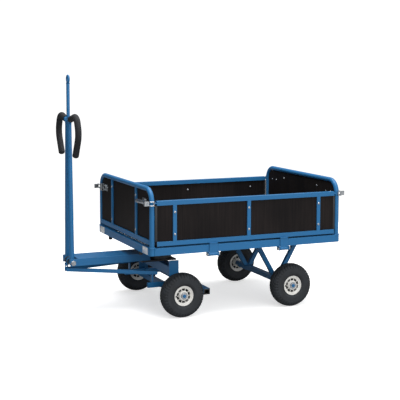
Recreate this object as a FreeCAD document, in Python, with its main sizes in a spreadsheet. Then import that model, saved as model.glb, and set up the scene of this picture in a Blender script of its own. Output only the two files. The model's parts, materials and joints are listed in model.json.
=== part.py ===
import FreeCAD, Part
import Sketcher
import math
import os
import re

# Four-wheel platform hand cart with turntable steering, a sprung safety drawbar that parks upright,
# a parking brake on the front tyres, plug-in end walls and fold-down side walls.
# X runs along the cart with the drawbar at -X, Y across it, Z up from the ground. Lengths in mm.

Vector = FreeCAD.Vector
doc = FreeCAD.newDocument("HandCart")
sheet = doc.addObject("Spreadsheet::Sheet", "Sizes")

sizes = {
    "bedX": 164.8,            # bed centre, measured from the middle of the whole cart
    "postX": 598, "postY": 448, "tubeDia": 28, "tubeWall": 2,
    "railBase": 386, "railHigh": 43, "railWide": 35, "railOut": 465, "endOut": 616, "railWall": 3,
    "socketDia": 36, "socketTop": 434, "deckThick": 12,
    "wallBase": 439, "wallTop": 694, "wallDeep": 28, "wallEnd": 573, "topRail": 25, "lowRail": 25,
    "panelThick": 6.5, "uprightX": 465, "uprightWide": 22, "barThick": 8,
    "endTop": 771, "bendRadius": 75, "endRailBase": 446, "endBarY": 215,
    "hingeX": 229, "hingeY": 466, "hingeZ": 372, "strapWide": 50, "hingePin": 12,
    "wheelRadius": 130, "trackHalf": 379, "frontAxle": 388, "rearAxle": 322,
    "beamWide": 32, "stubDia": 20, "hubHalf": 37, "flangeDia": 117,
    "boltHalf": 252, "boltBase": 222, "boltTop": 275, "boltWide": 60,
    "ringRadius": 80, "ringSplit": 312, "kingDia": 20,
    "armHalf": 82, "armBase": 285, "armTop": 328, "armWall": 4,
    "pivotX": 945, "pivotZ": 303, "footDia": 32, "pivotDia": 16,
    "legDia": 28, "legSpread": 50, "legTop": 1130, "eyeTop": 1395, "eyeBore": 28,
    "crankArm": 28, "crankLean": 47.5,
    "gripDia": 38, "brakeBarWide": 40,
    "latchX": 619, "latchY": 398, "latchZ": 682,
}
for row, (alias, value) in enumerate(sizes.items(), start=1):
    sheet.set(f"A{row}", alias)
    sheet.set(f"B{row}", str(value))
    sheet.setAlias(f"B{row}", alias)
doc.recompute()


def bound(text):
    """An expression in which every cell name points at the sheet."""
    return re.sub(r"[A-Za-z]\w*", lambda word: f"Sizes.{word[0]}" if word[0] in sizes else word[0], text)


def number(text):
    """The value of such an expression."""
    return float(sheet.evalExpression(bound(text)))


def move(obj, x=None, y=None, z=None):
    for axis, text in (("x", x), ("y", y), ("z", z)):
        if text is not None:
            obj.setExpression(f"Placement.Base.{axis}", bound(text))
    return obj


def box(name, x, y, z):
    """A block between pairs of limits."""
    obj = doc.addObject("Part::Box", name)
    for side, axis, limits in (("Length", "x", x), ("Width", "y", y), ("Height", "z", z)):
        obj.setExpression(side, bound(f"({limits[1]}) - ({limits[0]})"))
        obj.setExpression(f"Placement.Base.{axis}", bound(limits[0]))
    return obj


turned = {
    "x": FreeCAD.Rotation(Vector(0, 1, 0), 90),
    "y": FreeCAD.Rotation(Vector(1, 0, 0), -90),
    "z": FreeCAD.Rotation(),
}


def rod(name, axis, radius, span, at):
    """A cylinder along an axis, over a span, at a point given by its two other coordinates."""
    obj = doc.addObject("Part::Cylinder", name)
    obj.setExpression("Radius", bound(radius))
    obj.setExpression("Height", bound(f"({span[1]}) - ({span[0]})"))
    obj.Placement = FreeCAD.Placement(Vector(), turned[axis])
    others = [letter for letter in "xyz" if letter != axis]
    return move(obj, **{axis: span[0], others[0]: at[0], others[1]: at[1]})


def fuse(name, parts):
    obj = doc.addObject("Part::MultiFuse", name)
    obj.Shapes = parts
    return obj


def cut(name, base, tools):
    obj = doc.addObject("Part::Cut", name)
    obj.Base = base
    obj.Tool = tools[0] if len(tools) == 1 else fuse(f"{name}_tools", tools)
    return obj


def group(name, parts):
    """Separate solids that share one node."""
    obj = doc.addObject("Part::Compound", name)
    obj.Links = parts
    return obj


def mirrored(name, source, normal, base=Vector()):
    obj = doc.addObject("Part::Mirroring", name)
    obj.Source = source
    obj.Normal = normal
    obj.Base = base
    return obj


def across(name, source):
    """A copy on the other side of the cart."""
    return mirrored(name, source, Vector(0, 1, 0))


def endwise(name, source):
    """A copy at the other end of the bed."""
    obj = mirrored(name, source, Vector(1, 0, 0))
    obj.setExpression("Base.x", bound("bedX"))
    return obj


def sketch_on(body, name, role, offset=0.0):
    plane = next(feature for feature in body.Origin.OriginFeatures if feature.Role == role)
    sketch = body.newObject("Sketcher::SketchObject", name)
    sketch.AttachmentSupport = [(plane, "")]
    sketch.MapMode = "FlatFace"
    sketch.AttachmentOffset = FreeCAD.Placement(Vector(0, 0, offset), FreeCAD.Rotation())
    return sketch


def outline(body, name, role, points, offset=0.0):
    """A closed polygon whose corners are tied to the sheet."""
    sketch = sketch_on(body, name, role, offset)
    corners = [Vector(number(u), number(v), 0) for u, v in points]
    for index, corner in enumerate(corners):
        sketch.addGeometry(Part.LineSegment(corner, corners[(index + 1) % len(corners)]))
    for index, pair in enumerate(points):
        sketch.addConstraint(Sketcher.Constraint("Coincident", index, 2, (index + 1) % len(points), 1))
        for kind, text, place in zip(("DistanceX", "DistanceY"), pair, corners[index]):
            tie = sketch.addConstraint(Sketcher.Constraint(kind, -1, 1, index, 1, place))
            sketch.renameConstraint(tie, f"{kind}{index}")
            sketch.setExpression(f"Constraints.{kind}{index}", bound(text))
    return sketch


def padded(name, role, points, low, high):
    """A plate of a polygon's shape, between two distances along its plane's normal."""
    body = doc.addObject("PartDesign::Body", name)
    pad = body.newObject("PartDesign::Pad", f"{name}_pad")
    pad.Profile = outline(body, f"{name}_outline", role, points, low)
    pad.Length = high - low
    body.Tip = pad
    return body


def revolved(name, points):
    """A ring turned about the Y axis, from (radius, y) corners."""
    body = doc.addObject("PartDesign::Body", name)
    sketch = outline(body, f"{name}_section", "XY_Plane", points)
    turn = body.newObject("PartDesign::Revolution", f"{name}_turn")
    turn.Profile = sketch
    turn.ReferenceAxis = (sketch, ["V_Axis"])
    turn.Angle = 360
    body.Tip = turn
    return body


def rounded_path(sketch, corners):
    """Straight runs joined by tangent arcs, from (u, v, bend radius) corners."""
    points = [Vector(u, v, 0) for u, v, bend in corners]
    last = points[0]
    for before, corner, after, (u, v, bend) in zip(points, points[1:], points[2:], corners[1:]):
        back = (before - corner).normalize()
        ahead = (after - corner).normalize()
        half = back.getAngle(ahead) / 2
        reach = bend / math.tan(half)
        centre = corner + (back + ahead).normalize() * (bend / math.sin(half))
        middle = centre + (corner - centre).normalize() * bend
        start = corner + back * reach
        end = corner + ahead * reach
        sketch.addGeometry(Part.LineSegment(last, start))
        sketch.addGeometry(Part.Arc(start, middle, end))
        last = end
    sketch.addGeometry(Part.LineSegment(last, points[-1]))


def bent_tube(name, role, offset, corners, outer, inner):
    """A bent round tube or bar, its path in a plane and its radii tied to the sheet."""
    body = doc.addObject("PartDesign::Body", name)
    path = sketch_on(body, f"{name}_path", role, offset)
    rounded_path(path, corners)
    doc.recompute()
    ring = body.newObject("Sketcher::SketchObject", f"{name}_ring")
    ring.AttachmentSupport = [(path, "Edge1")]
    ring.MapMode = "NormalToEdge"
    for index, radius in enumerate([outer, inner] if inner else [outer]):
        ring.addGeometry(Part.Circle(Vector(), Vector(0, 0, 1), number(radius)))
        ring.addConstraint(Sketcher.Constraint("Coincident", index, 3, -1, 1))
        tie = ring.addConstraint(Sketcher.Constraint("Radius", index, number(radius)))
        ring.renameConstraint(tie, f"radius{index}")
        ring.setExpression(f"Constraints.radius{index}", bound(radius))
    pipe = body.newObject("PartDesign::AdditivePipe", f"{name}_pipe")
    pipe.Profile = ring
    pipe.Spine = (path, [f"Edge{index + 1}" for index in range(path.GeometryCount)])
    body.Tip = pipe
    return body


def hollow_box(name, x, y, z, along, wall):
    """A rectangular tube, open at both ends of the axis it runs along."""
    limits = {"x": x, "y": y, "z": z}
    inside = {axis: (f"{low} + {wall}", f"{high} - {wall}") for axis, (low, high) in limits.items()}
    inside[along] = limits[along]
    return cut(name, box(f"{name}_skin", x, y, z), [box(f"{name}_core", **inside)])


def tube(name, axis, outer, inner, span, at):
    return cut(name, rod(f"{name}_skin", axis, outer, span, at), [rod(f"{name}_core", axis, inner, span, at)])


def strut(name, start, end, wide, deep):
    """A flat-sided bar from point to point, its deep side as upright as it can be."""
    obj = doc.addObject("Part::Box", name)
    first, last = (Vector(*(number(text) for text in point)) for point in (start, end))
    line = last - first
    obj.Length = wide
    obj.Width = deep
    obj.Height = line.Length
    turn = FreeCAD.Rotation(Vector(-line.y, line.x, 0), Vector(0, 0, 1), line, "ZYX")
    obj.Placement = FreeCAD.Placement(first - turn.multVec(Vector(wide / 2, deep / 2, 0)), turn)
    return obj


def round_strut(name, start, end, radius):
    obj = doc.addObject("Part::Cylinder", name)
    first, last = (Vector(*(number(text) for text in point)) for point in (start, end))
    obj.setExpression("Radius", bound(radius))
    obj.Height = (last - first).Length
    obj.Placement = FreeCAD.Placement(first, FreeCAD.Rotation(Vector(0, 0, 1), last - first))
    return obj


nodes = {}


def keep(obj):
    """Marks a finished sub-part: its label is its file's name."""
    nodes[obj.Label] = obj
    return obj


# ---- bed -------------------------------------------------------------------------------------------------

def bed_x(text):
    return f"bedX {text}"


def side_rail():
    """Side rail with four welded ears for the hinge pins, coped round the corner sockets."""
    z = ("railBase", "railBase + railHigh")
    channel = hollow_box("side_rail_tube", (bed_x("- endOut + 30.3"), bed_x("+ endOut - 30.3")),
                         ("- railOut", "railWide - railOut"), z, "x", "railWall")
    sockets = [rod(f"side_rail_cope{end}", "z", "socketDia / 2 + 0.2", z, (bed_x(f"{end} postX"), "- postY"))
               for end in "-+"]
    coped = cut("side_rail_coped", channel, sockets)
    parts = [coped]
    for hinge in "-+":
        for side, (near, far) in (("-", ("- 33", "- 27.5")), ("+", ("+ 27.5", "+ 33"))):
            ear = box(f"ear{hinge}{side}", (bed_x(f"{hinge} hingeX {near}"), bed_x(f"{hinge} hingeX {far}")),
                      ("- hingeY - 9", "- hingeY + 26"), ("hingeZ - 10", "railBase"))
            parts.append(ear)
    pins = [rod(f"ear_bore{hinge}", "x", "hingePin / 2 + 0.1",
                (bed_x(f"{hinge} hingeX - 40"), bed_x(f"{hinge} hingeX + 40")), ("- hingeY", "hingeZ"))
            for hinge in "-+"]
    return cut("side_rail_near", fuse("side_rail_welded", parts), pins)


def end_rail():
    """End rail with a socket at each corner for the plug-in end wall."""
    channel = hollow_box("end_rail_tube", (bed_x("- endOut"), bed_x("- endOut + 30")), ("- postY", "postY"),
                         ("railBase", "railBase + railHigh"), "y", "railWall")
    shells = [rod(f"socket_shell{side}", "z", "socketDia / 2", ("railBase", "socketTop"),
                  (bed_x("- postX"), f"{side} postY")) for side in "-+"]
    bores = [rod(f"socket_bore{side}", "z", "tubeDia / 2 + 0.4", ("railBase + 4", "socketTop"),
                 (bed_x("- postX"), f"{side} postY")) for side in "-+"]
    return cut("end_rail_front", fuse("end_rail_welded", [channel] + shells), bores)


def cross_members():
    places = ("- 470", "- 306", "+ 0", "+ 162", "+ 482")
    bars = [hollow_box(f"cross_member{index}", (bed_x(f"{place} - 20"), bed_x(f"{place} + 20")),
                       ("railWide - railOut", "railOut - railWide"),
                       ("railBase + railHigh - 30", "railBase + railHigh"), "y", "2.5")
            for index, place in enumerate(places)]
    return group("cross_members", bars)


def turntable_upper():
    """Mounting plate, drum and upper slewing ring, under the cross members."""
    centre = (bed_x("- frontAxle"), "0")
    plate = box("upper_plate", (bed_x("- frontAxle - 102"), bed_x("- frontAxle + 102")), ("- 100", "100"),
                ("railBase + railHigh - 38", "railBase + railHigh - 30"))
    drum = rod("upper_drum", "z", "ringRadius - 10", ("ringSplit + 26", "railBase + railHigh - 38"), centre)
    ring = rod("upper_ring", "z", "ringRadius", ("ringSplit + 0.3", "ringSplit + 26"), centre)
    well = rod("upper_well", "z", "ringRadius - 20", ("ringSplit", "railBase + railHigh - 38"), centre)
    return cut("turntable_upper", fuse("turntable_upper_solid", [plate, drum, ring]), [well])


def kingpin():
    centre = (bed_x("- frontAxle"), "0")
    shank = rod("kingpin_shank", "z", "kingDia / 2", ("boltTop - 16", "railBase + railHigh - 38"), centre)
    nut = rod("kingpin_nut", "z", "15", ("boltTop - 19", "boltTop - 6"), centre)
    return fuse("kingpin", [shank, nut])


def axle(name, x):
    """Square axle tube with a turned stub and shoulder at each end."""
    reach = "trackHalf - hubHalf - 24"
    beam = hollow_box(f"{name}_beam", (f"{x} - beamWide / 2", f"{x} + beamWide / 2"), (f"- ({reach})", reach),
                      ("wheelRadius - beamWide / 2", "wheelRadius + beamWide / 2"), "y", "4")
    parts = [beam]
    for side in ("", "-"):
        spans = [sorted((f"{side}({near})", f"{side}({far})"), key=number) for near, far in (
            (f"{reach} - 20", reach),
            (f"{reach} - 20", "trackHalf - hubHalf - 0.3"),
            (f"{reach} - 20", "trackHalf + hubHalf + 0.5"))]
        parts.append(box(f"{name}_plug{side}", (f"{x} - 14", f"{x} + 14"), spans[0],
                         ("wheelRadius - 14", "wheelRadius + 14")))
        parts.append(rod(f"{name}_shoulder{side}", "y", "14", spans[1], (x, "wheelRadius")))
        parts.append(rod(f"{name}_stub{side}", "y", "stubDia / 2", spans[2], (x, "wheelRadius")))
    return fuse(name, parts)


def axle_caps(name, x):
    caps = [rod(f"{name}{side}", "y", "16", limits, (x, "wheelRadius"))
            for side, limits in (("+", ("trackHalf + hubHalf + 0.5", "trackHalf + hubHalf + 8")),
                                 ("-", ("- trackHalf - hubHalf - 8", "- trackHalf - hubHalf - 0.5")))]
    return group(name, caps)


def rear_struts():
    """Two leaning square legs each side, from the cross members down to the rear axle."""
    legs = []
    for side, low in (("near", -212.5), ("far", 187.5)):
        for lean, foot, head in (("front", ("- 29", "- 0.2"), ("- 174.5", "- 145.5")),
                                 ("rear", ("+ 0.2", "+ 29"), ("+ 145.5", "+ 174.5"))):
            bottom = "wheelRadius + beamWide / 2"
            top = "railBase + railHigh - 30"
            points = [(f"bedX + rearAxle {foot[0]}", bottom), (f"bedX + rearAxle {foot[1]}", bottom),
                      (f"bedX + rearAxle {head[1]}", top), (f"bedX + rearAxle {head[0]}", top)]
            legs.append(padded(f"rear_strut_{side}_{lean}", "XZ_Plane", points, -low - 25, -low))
    return group("rear_struts", legs)


def hinge_pins():
    pins = []
    for side in "-+":
        for hinge in "-+":
            centre = f"bedX {hinge} hingeX"
            at = (f"{side} hingeY", "hingeZ")
            shank = rod(f"pin{side}{hinge}", "x", "hingePin / 2", (f"{centre} - 34", f"{centre} + 34"), at)
            heads = [rod(f"pin_head{side}{hinge}{place}", "x", "hingePin / 2 + 3.5", limits, at)
                     for place, limits in (("a", (f"{centre} - 41", f"{centre} - 33.1")),
                                           ("b", (f"{centre} + 33.1", f"{centre} + 41")))]
            pins.append(fuse(f"hinge_pin{side}{hinge}", [shank] + heads))
    return group("hinge_pins", pins)


keep(side_rail())
keep(across("side_rail_far", nodes["side_rail_near"]))
keep(end_rail())
keep(endwise("end_rail_rear", nodes["end_rail_front"]))
keep(cross_members())
keep(box("deck_board", (bed_x("- endOut + 30.5"), bed_x("+ endOut - 30.5")),
         ("wallDeep + 3 - railOut", "railOut - wallDeep - 3"),
         ("railBase + railHigh", "railBase + railHigh + deckThick")))
keep(turntable_upper())
keep(kingpin())
keep(axle("rear_axle", "bedX + rearAxle"))
keep(axle_caps("rear_axle_caps", "bedX + rearAxle"))
keep(rear_struts())
keep(hinge_pins())
keep(group("reflector_plates", [
    box(f"reflector{low}", (bed_x("- endOut - 1.5"), bed_x("- endOut")), (low, high),
        ("railBase + 3", "railBase + railHigh - 1")) for low, high in (("- 428", "- 348"), ("348", "428"))]))
keep(group("steering_buffers", [
    rod(f"buffer{side}", "z", "12", ("railBase - 24", "railBase"), (bed_x("- endOut + 15"), f"{side} 275"))
    for side in "-+"]))


# ---- end walls -------------------------------------------------------------------------------------------

def end_loop(name, radius):
    """The round-cornered hoop of an end wall at a given tube radius."""
    top = "endTop - tubeDia / 2"
    bend_z = f"{top} - bendRadius"
    x = bed_x("- postX")
    parts = [rod(f"{name}_top", "y", radius, ("bendRadius - postY", "postY - bendRadius"), (x, top))]
    for side, start in (("-", 90), ("+", 0)):
        parts.append(rod(f"{name}_post{side}", "z", radius, ("railBase + 5", bend_z), (x, f"{side} postY")))
        bend = doc.addObject("Part::Torus", f"{name}_bend{side}")
        bend.setExpression("Radius1", bound("bendRadius"))
        bend.setExpression("Radius2", bound(radius))
        bend.Angle3 = 90
        lean = FreeCAD.Rotation(Vector(0, 1, 0), Vector(0, 0, 1), Vector(1, 0, 0), "ZXY")
        bend.Placement = FreeCAD.Placement(Vector(), FreeCAD.Rotation(Vector(1, 0, 0), start) * lean)
        inner = "bendRadius - postY" if side == "-" else "postY - bendRadius"
        parts.append(move(bend, x, inner, bend_z))
    return fuse(name, parts)


def end_frame():
    """Hoop with a lower rail and two upright bars."""
    outer = end_loop("end_hoop", "tubeDia / 2")
    hollow = end_loop("end_hoop_bore", "tubeDia / 2 - tubeWall")
    rail = box("end_low_rail", (bed_x("- postX - 13"), bed_x("- postX + 12")), ("- postY", "postY"),
               ("endRailBase", "endRailBase + lowRail"))
    bars = [box(f"end_bar{side}", (bed_x("- postX - 13"), bed_x("- postX - 13 + barThick")),
                (f"{side} endBarY - uprightWide / 2", f"{side} endBarY + uprightWide / 2"),
                ("endRailBase + lowRail", "endTop - tubeDia / 2")) for side in "-+"]
    return cut("end_frame_front", fuse("end_frame_welded", [outer, rail] + bars), [hollow])


def end_panel():
    """Coated board inside the hoop, with its top corners rounded to follow it."""
    reach = "postY - tubeDia / 2 - 0.5"
    inside = "bendRadius - tubeDia / 2 - 0.5"
    middle = "endTop - tubeDia / 2 - bendRadius"
    x = (bed_x("- postX - 4.7"), bed_x("- postX - 4.7 + panelThick"))
    lower = box("panel_lower", x, (f"- ({reach})", reach), ("endRailBase + lowRail + 0.3", middle))
    upper = box("panel_upper", x, ("bendRadius - postY", "postY - bendRadius"),
                (middle, f"{middle} + {inside}"))
    corners = [rod(f"panel_corner{side}", "x", inside, x, (f"{side} (postY - bendRadius)", middle))
               for side in "-+"]
    return fuse("end_panel_front", [lower, upper] + corners)


def end_bolts():
    """Round bolt heads on both faces of the end walls."""
    heads = []
    for end in "-+":
        for side in "-+":
            for z in ("endTop - 68", "endRailBase + 56"):
                name = f"{end}{side}{len(heads)}"
                faces = [(f"bedX {end} (postX - 5.8)", f"bedX {end} (postX - 1.9)"),
                         (f"bedX {end} (postX + 13.1)", f"bedX {end} (postX + 17)")]
                for face, limits in enumerate(faces):
                    low, high = limits if end == "+" else limits[::-1]
                    heads.append(rod(f"end_bolt{name}{face}", "x", "7", (low, high), (f"{side} endBarY", z)))
    return group("end_wall_bolts", heads)


def latch_base():
    """Bracket bolted to the end panel, with two knuckles round the upright latch pin."""
    x = bed_x("- latchX")
    back = box("latch_back", (bed_x("- postX - 10"), bed_x("- postX - 4.9")),
               ("- latchY + 12", "- latchY + 84"), ("latchZ - 20", "latchZ + 20"))
    parts = [back, rod("latch_pin", "z", "4", ("latchZ - 22", "latchZ + 22"), (x, "- latchY"))]
    for side, z in (("-", ("latchZ - 22", "latchZ - 19")), ("+", ("latchZ + 19", "latchZ + 22"))):
        parts.append(box(f"latch_arm{side}", (x, bed_x("- postX - 8")), ("- latchY - 7", "- latchY + 30"), z))
        parts.append(rod(f"latch_eye{side}", "z", "7", z, (x, "- latchY")))
    return fuse("latch_base_near", parts)


def latch_hasp():
    """Wire loop that swings round the post to the side wall's peg, with a finger tab."""
    x = bed_x("- latchX")
    corner_y = "- postY - 17"
    sleeve = tube("hasp_sleeve", "z", "7", "4.05", ("latchZ - 18.5", "latchZ + 18.5"), (x, "- latchY"))
    parts = [sleeve]
    for side in "-+":
        level = f"latchZ {side} 11"
        parts.append(rod(f"hasp_wire{side}", "y", "3", (corner_y, "- latchY - 6"), (x, level)))
        bend = doc.addObject("Part::Torus", f"hasp_bend{side}")
        bend.Radius1 = 8
        bend.Radius2 = 3
        bend.Angle3 = 90
        bend.Placement = FreeCAD.Placement(Vector(), FreeCAD.Rotation(Vector(0, 0, 1), 180))
        parts.append(move(bend, f"{x} + 8", corner_y, level))
        parts.append(rod(f"hasp_nose{side}", "x", "3", (f"{x} + 8", bed_x("- postX + 3")),
                         (f"{corner_y} - 8", level)))
    parts.append(rod("hasp_end", "z", "3", ("latchZ - 11", "latchZ + 11"),
                     (bed_x("- postX + 3"), f"{corner_y} - 8")))
    parts.append(box("hasp_tab", (f"{x} - 26", f"{x} + 1"), ("- postY - 12", "- postY - 7"),
                     ("latchZ - 13", "latchZ + 13")))
    return fuse("hasp_front_near", parts)


keep(end_frame())
keep(endwise("end_frame_rear", nodes["end_frame_front"]))
front_panel = end_panel()
keep(group("end_panels", [front_panel, endwise("end_panel_rear", front_panel)]))
keep(end_bolts())
near_base = latch_base()
far_base = across("latch_base_far", near_base)
keep(group("latch_bases", [near_base, far_base, endwise("latch_base_near_rear", near_base),
                           endwise("latch_base_far_rear", far_base)]))
keep(latch_hasp())
keep(across("hasp_front_far", nodes["hasp_front_near"]))
keep(endwise("hasp_rear_near", nodes["hasp_front_near"]))
keep(endwise("hasp_rear_far", nodes["hasp_front_far"]))


# ---- side walls ------------------------------------------------------------------------------------------

upright_places = ("bedX - uprightX", "bedX", "bedX + uprightX")


def side_frame():
    """Two long rails, three uprights and a peg at each end for the hasps."""
    y = ("- railOut", "wallDeep - railOut")
    ends = (bed_x("- wallEnd"), bed_x("+ wallEnd"))
    parts = [hollow_box("wall_top_rail", ends, y, ("wallTop - topRail", "wallTop"), "x", "2"),
             hollow_box("wall_low_rail", ends, y, ("wallBase", "wallBase + lowRail"), "x", "2")]
    for index, place in enumerate(upright_places):
        x = (f"{place} - uprightWide / 2", f"{place} + uprightWide / 2")
        z = ("wallBase + lowRail", "wallTop - topRail")
        parts.append(box(f"upright{index}", x, ("- railOut", "barThick - railOut"), z))
    for side, plug, peg in (("-", (ends[0], f"{ends[0]} + 4"), (f"{ends[0]} - 12", ends[0])),
                            ("+", (f"{ends[1]} - 4", ends[1]), (ends[1], f"{ends[1]} + 12"))):
        parts.append(box(f"wall_plug{side}", plug, (f"{y[0]} + 2", f"{y[1]} - 2"),
                         ("wallTop - topRail + 2", "wallTop - 2")))
        parts.append(rod(f"wall_peg{side}", "x", "4", peg, (f"{y[0]} + 6", "latchZ")))
    return fuse("side_frame_near", parts)


def side_bolts():
    heads = []
    faces = (("- railOut - 4", "- railOut - 0.1"), ("barThick + 0.4 + panelThick - railOut", "barThick + 3.4 + panelThick - railOut"))
    for place in upright_places:
        for z in ("wallTop - 66", "wallBase + 63"):
            for limits in faces:
                heads.append(rod(f"side_bolt{len(heads)}", "y", "7", limits, (place, z)))
    return group("side_bolts_near", heads)


def hinge_straps():
    """Bent straps under the lower rail, each ending in a barrel on its hinge pin."""
    straps = []
    for end in "-+":
        centre = f"bedX {end} hingeX"
        x = (f"{centre} - strapWide / 2", f"{centre} + strapWide / 2")
        flange = box(f"strap_flange{end}", x, ("- railOut - 6", "wallDeep - railOut"),
                     ("wallBase - 5", "wallBase"))
        plate = box(f"strap_plate{end}", x, ("- railOut - 6", "- railOut - 1.5"), ("hingeZ", "wallBase - 5"))
        barrel = rod(f"strap_barrel{end}", "x", "9.5", x, ("- hingeY", "hingeZ"))
        bore = rod(f"strap_bore{end}", "x", "hingePin / 2 + 0.05", x, ("- hingeY", "hingeZ"))
        straps.append(cut(f"hinge_strap{end}", fuse(f"strap_solid{end}", [flange, plate, barrel]), [bore]))
    return group("hinge_straps_near", straps)


keep(side_frame())
keep(box("side_panel_near", (bed_x("- wallEnd"), bed_x("+ wallEnd")),
         ("barThick + 0.3 - railOut", "barThick + 0.3 + panelThick - railOut"),
         ("wallBase + lowRail + 0.2", "wallTop - topRail - 0.2")))
keep(side_bolts())
keep(hinge_straps())
for part_name in ("side_frame", "side_panel", "side_bolts", "hinge_straps"):
    keep(across(f"{part_name}_far", nodes[f"{part_name}_near"]))


# ---- steering bogie --------------------------------------------------------------------------------------

king_x = "bedX - frontAxle"


def turntable_lower():
    plate = box("lower_plate", (f"{king_x} - 132", f"{king_x} + 85"), ("- 85", "85"),
                ("boltTop", "boltTop + 10"))
    ring = rod("lower_ring", "z", "ringRadius", ("boltTop + 10", "ringSplit"), (king_x, "0"))
    well = rod("lower_well", "z", "ringRadius - 20", ("boltTop + 10", "ringSplit"), (king_x, "0"))
    bore = rod("lower_bore", "z", "kingDia / 2 + 0.06", ("boltTop", "boltTop + 10"), (king_x, "0"))
    return cut("turntable_lower", fuse("turntable_lower_solid", [plate, ring]), [well, bore])


def bolster():
    """Box beam across the bogie, with a plate down to the axle at each end."""
    x = (f"{king_x} - boltWide / 2", f"{king_x} + boltWide / 2")
    beam = hollow_box("bolster_beam", x, ("- boltHalf", "boltHalf"), ("boltBase", "boltTop"), "y", "4")
    plates = [box(f"bolster_plate{low}", x, (low, high), ("wheelRadius + beamWide / 2", "boltTop + 34"))
              for low, high in (("- boltHalf - 8", "- boltHalf"), ("boltHalf", "boltHalf + 8"))]
    bore = rod("bolster_bore", "z", "kingDia / 2 + 0.06", ("boltTop - 5", "boltTop"), (king_x, "0"))
    return cut("bolster", fuse("bolster_welded", [beam] + plates), [bore])


def steering_arm():
    """Inverted channel from the turntable plate to the drawbar pivot, its web cut back for the drawbar."""
    x = ("bedX - pivotX - 18", f"{king_x} - 82")
    inside = ("armWall - armHalf", "armHalf - armWall")
    skin = box("arm_skin", x, ("- armHalf", "armHalf"), ("armBase", "armTop"))
    core = box("arm_core", x, inside, ("armBase", "armTop - armWall"))
    notch = box("arm_notch", (x[0], "bedX - pivotX + 27"), inside, ("armTop - armWall", "armTop"))
    bore = rod("arm_bore", "y", "pivotDia / 2 + 0.1", ("- armHalf", "armHalf"), ("bedX - pivotX", "pivotZ"))
    return cut("steering_arm", skin, [core, notch, bore])


def pivot_bolt():
    at = ("bedX - pivotX", "pivotZ")
    shank = rod("pivot_shank", "y", "pivotDia / 2", ("- armHalf - 14", "armHalf + 18"), at)
    head = rod("pivot_head", "y", "13", ("- armHalf - 14", "- armHalf - 4"), at)
    nut = rod("pivot_nut", "y", "13", ("armHalf + 4", "armHalf + 14"), at)
    washers = [rod(f"pivot_washer{side}", "y", "15", limits, at)
               for side, limits in (("-", ("- armHalf - 4", "- armHalf")), ("+", ("armHalf", "armHalf + 4")))]
    return fuse("pivot_bolt", [shank, head, nut] + washers)


def brake_guides():
    """Two bridges on the front axle that hold the sliding brake bars down."""
    guides = []
    for side in "-+":
        centre = f"{side} 200"
        x = (f"{king_x} - 6", f"{king_x} + 6")
        bridge = box(f"bridge{side}", x, (f"{centre} - 16", f"{centre} + 16"),
                     ("wheelRadius + beamWide / 2", "wheelRadius + beamWide / 2 + 38"))
        gap = box(f"bridge_gap{side}", x, (f"{centre} - 11.5", f"{centre} + 11.5"),
                  ("wheelRadius + beamWide / 2", "wheelRadius + beamWide / 2 + 33"))
        guides.append(cut(f"brake_guide{side}", bridge, [gap]))
    return group("brake_guides", guides)


def return_springs():
    """Two close-wound torsion coils round the drawbar's foot, clear of it; each turn is a ridge."""
    coils = []
    turns = 5
    wire = 3.2
    for side, start in (("near", -34), ("far", 18)):
        ridges = []
        for turn in range(turns):
            low = start + turn * wire
            ridges += [("20.4", f"{low:.2f}"), ("21.6", f"{low + 1:.2f}"), ("21.6", f"{low + 2.2:.2f}")]
        end = start + turns * wire
        section = [("18", f"{start}")] + ridges + [("20.4", f"{end:.2f}"), ("18", f"{end:.2f}")]
        coils.append(move(revolved(f"coil_{side}", section), "bedX - pivotX", None, "pivotZ"))
    return group("return_springs", coils)


keep(turntable_lower())
keep(bolster())
keep(axle("front_axle", king_x))
keep(axle_caps("front_axle_caps", king_x))
keep(steering_arm())
keep(pivot_bolt())
keep(brake_guides())
keep(return_springs())


# ---- drawbar ---------------------------------------------------------------------------------------------

pivot_x = "bedX - pivotX"
lean = math.radians(sizes["crankLean"])
crank_x = f"{pivot_x} - crankArm * {math.sin(lean):.5f}"
crank_z = f"pivotZ - crankArm * {math.cos(lean):.5f}"


def drawbar_foot():
    """Cross tube that turns on the pivot bolt, with two ears and the pin that works the brake."""
    at = (pivot_x, "pivotZ")
    barrel = rod("foot_barrel", "y", "footDia / 2",
                 ("armWall + 0.5 - armHalf", "armHalf - armWall - 0.5"), at)
    parts = [barrel, rod("crank_pin", "y", "4", ("- 13", "13"), (crank_x, crank_z))]
    for side, low in (("-", "- 13"), ("+", "7")):
        ear = doc.addObject("Part::Box", f"crank_ear{side}")
        ear.Length = 16
        ear.Width = 6
        ear.setExpression("Height", bound("crankArm"))
        turn = FreeCAD.Rotation(Vector(0, 1, 0), 180 + sizes["crankLean"])
        corner = turn.multVec(Vector(-8, 0, 0))
        ear.Placement = FreeCAD.Placement(Vector(), turn)
        parts.append(move(ear, f"{pivot_x} + {corner.x:.4f}", low, f"pivotZ + {corner.z:.4f}"))
        parts.append(rod(f"crank_eye{side}", "y", "8", (low, f"{low} + 6"), (crank_x, crank_z)))
    bore = rod("foot_bore", "y", "pivotDia / 2 + 0.05", ("- armHalf", "armHalf"), at)
    return cut("drawbar_foot", fuse("drawbar_foot_solid", parts), [bore])


leg_path = [(-50, 303, 0), (-15.6, 1130, 32), (-168, 1163, 55), (-213, 1058, 100), (-141.9, 929.3, 0)]
cope_path = [(-18.5, 1060, 0), (-15.6, 1130, 32), (-110, 1150.4, 0)]
grip_path = [(-50, 1137.4, 0), (-168, 1163, 55), (-213, 1058, 100), (-139, 924, 0)]


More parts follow.
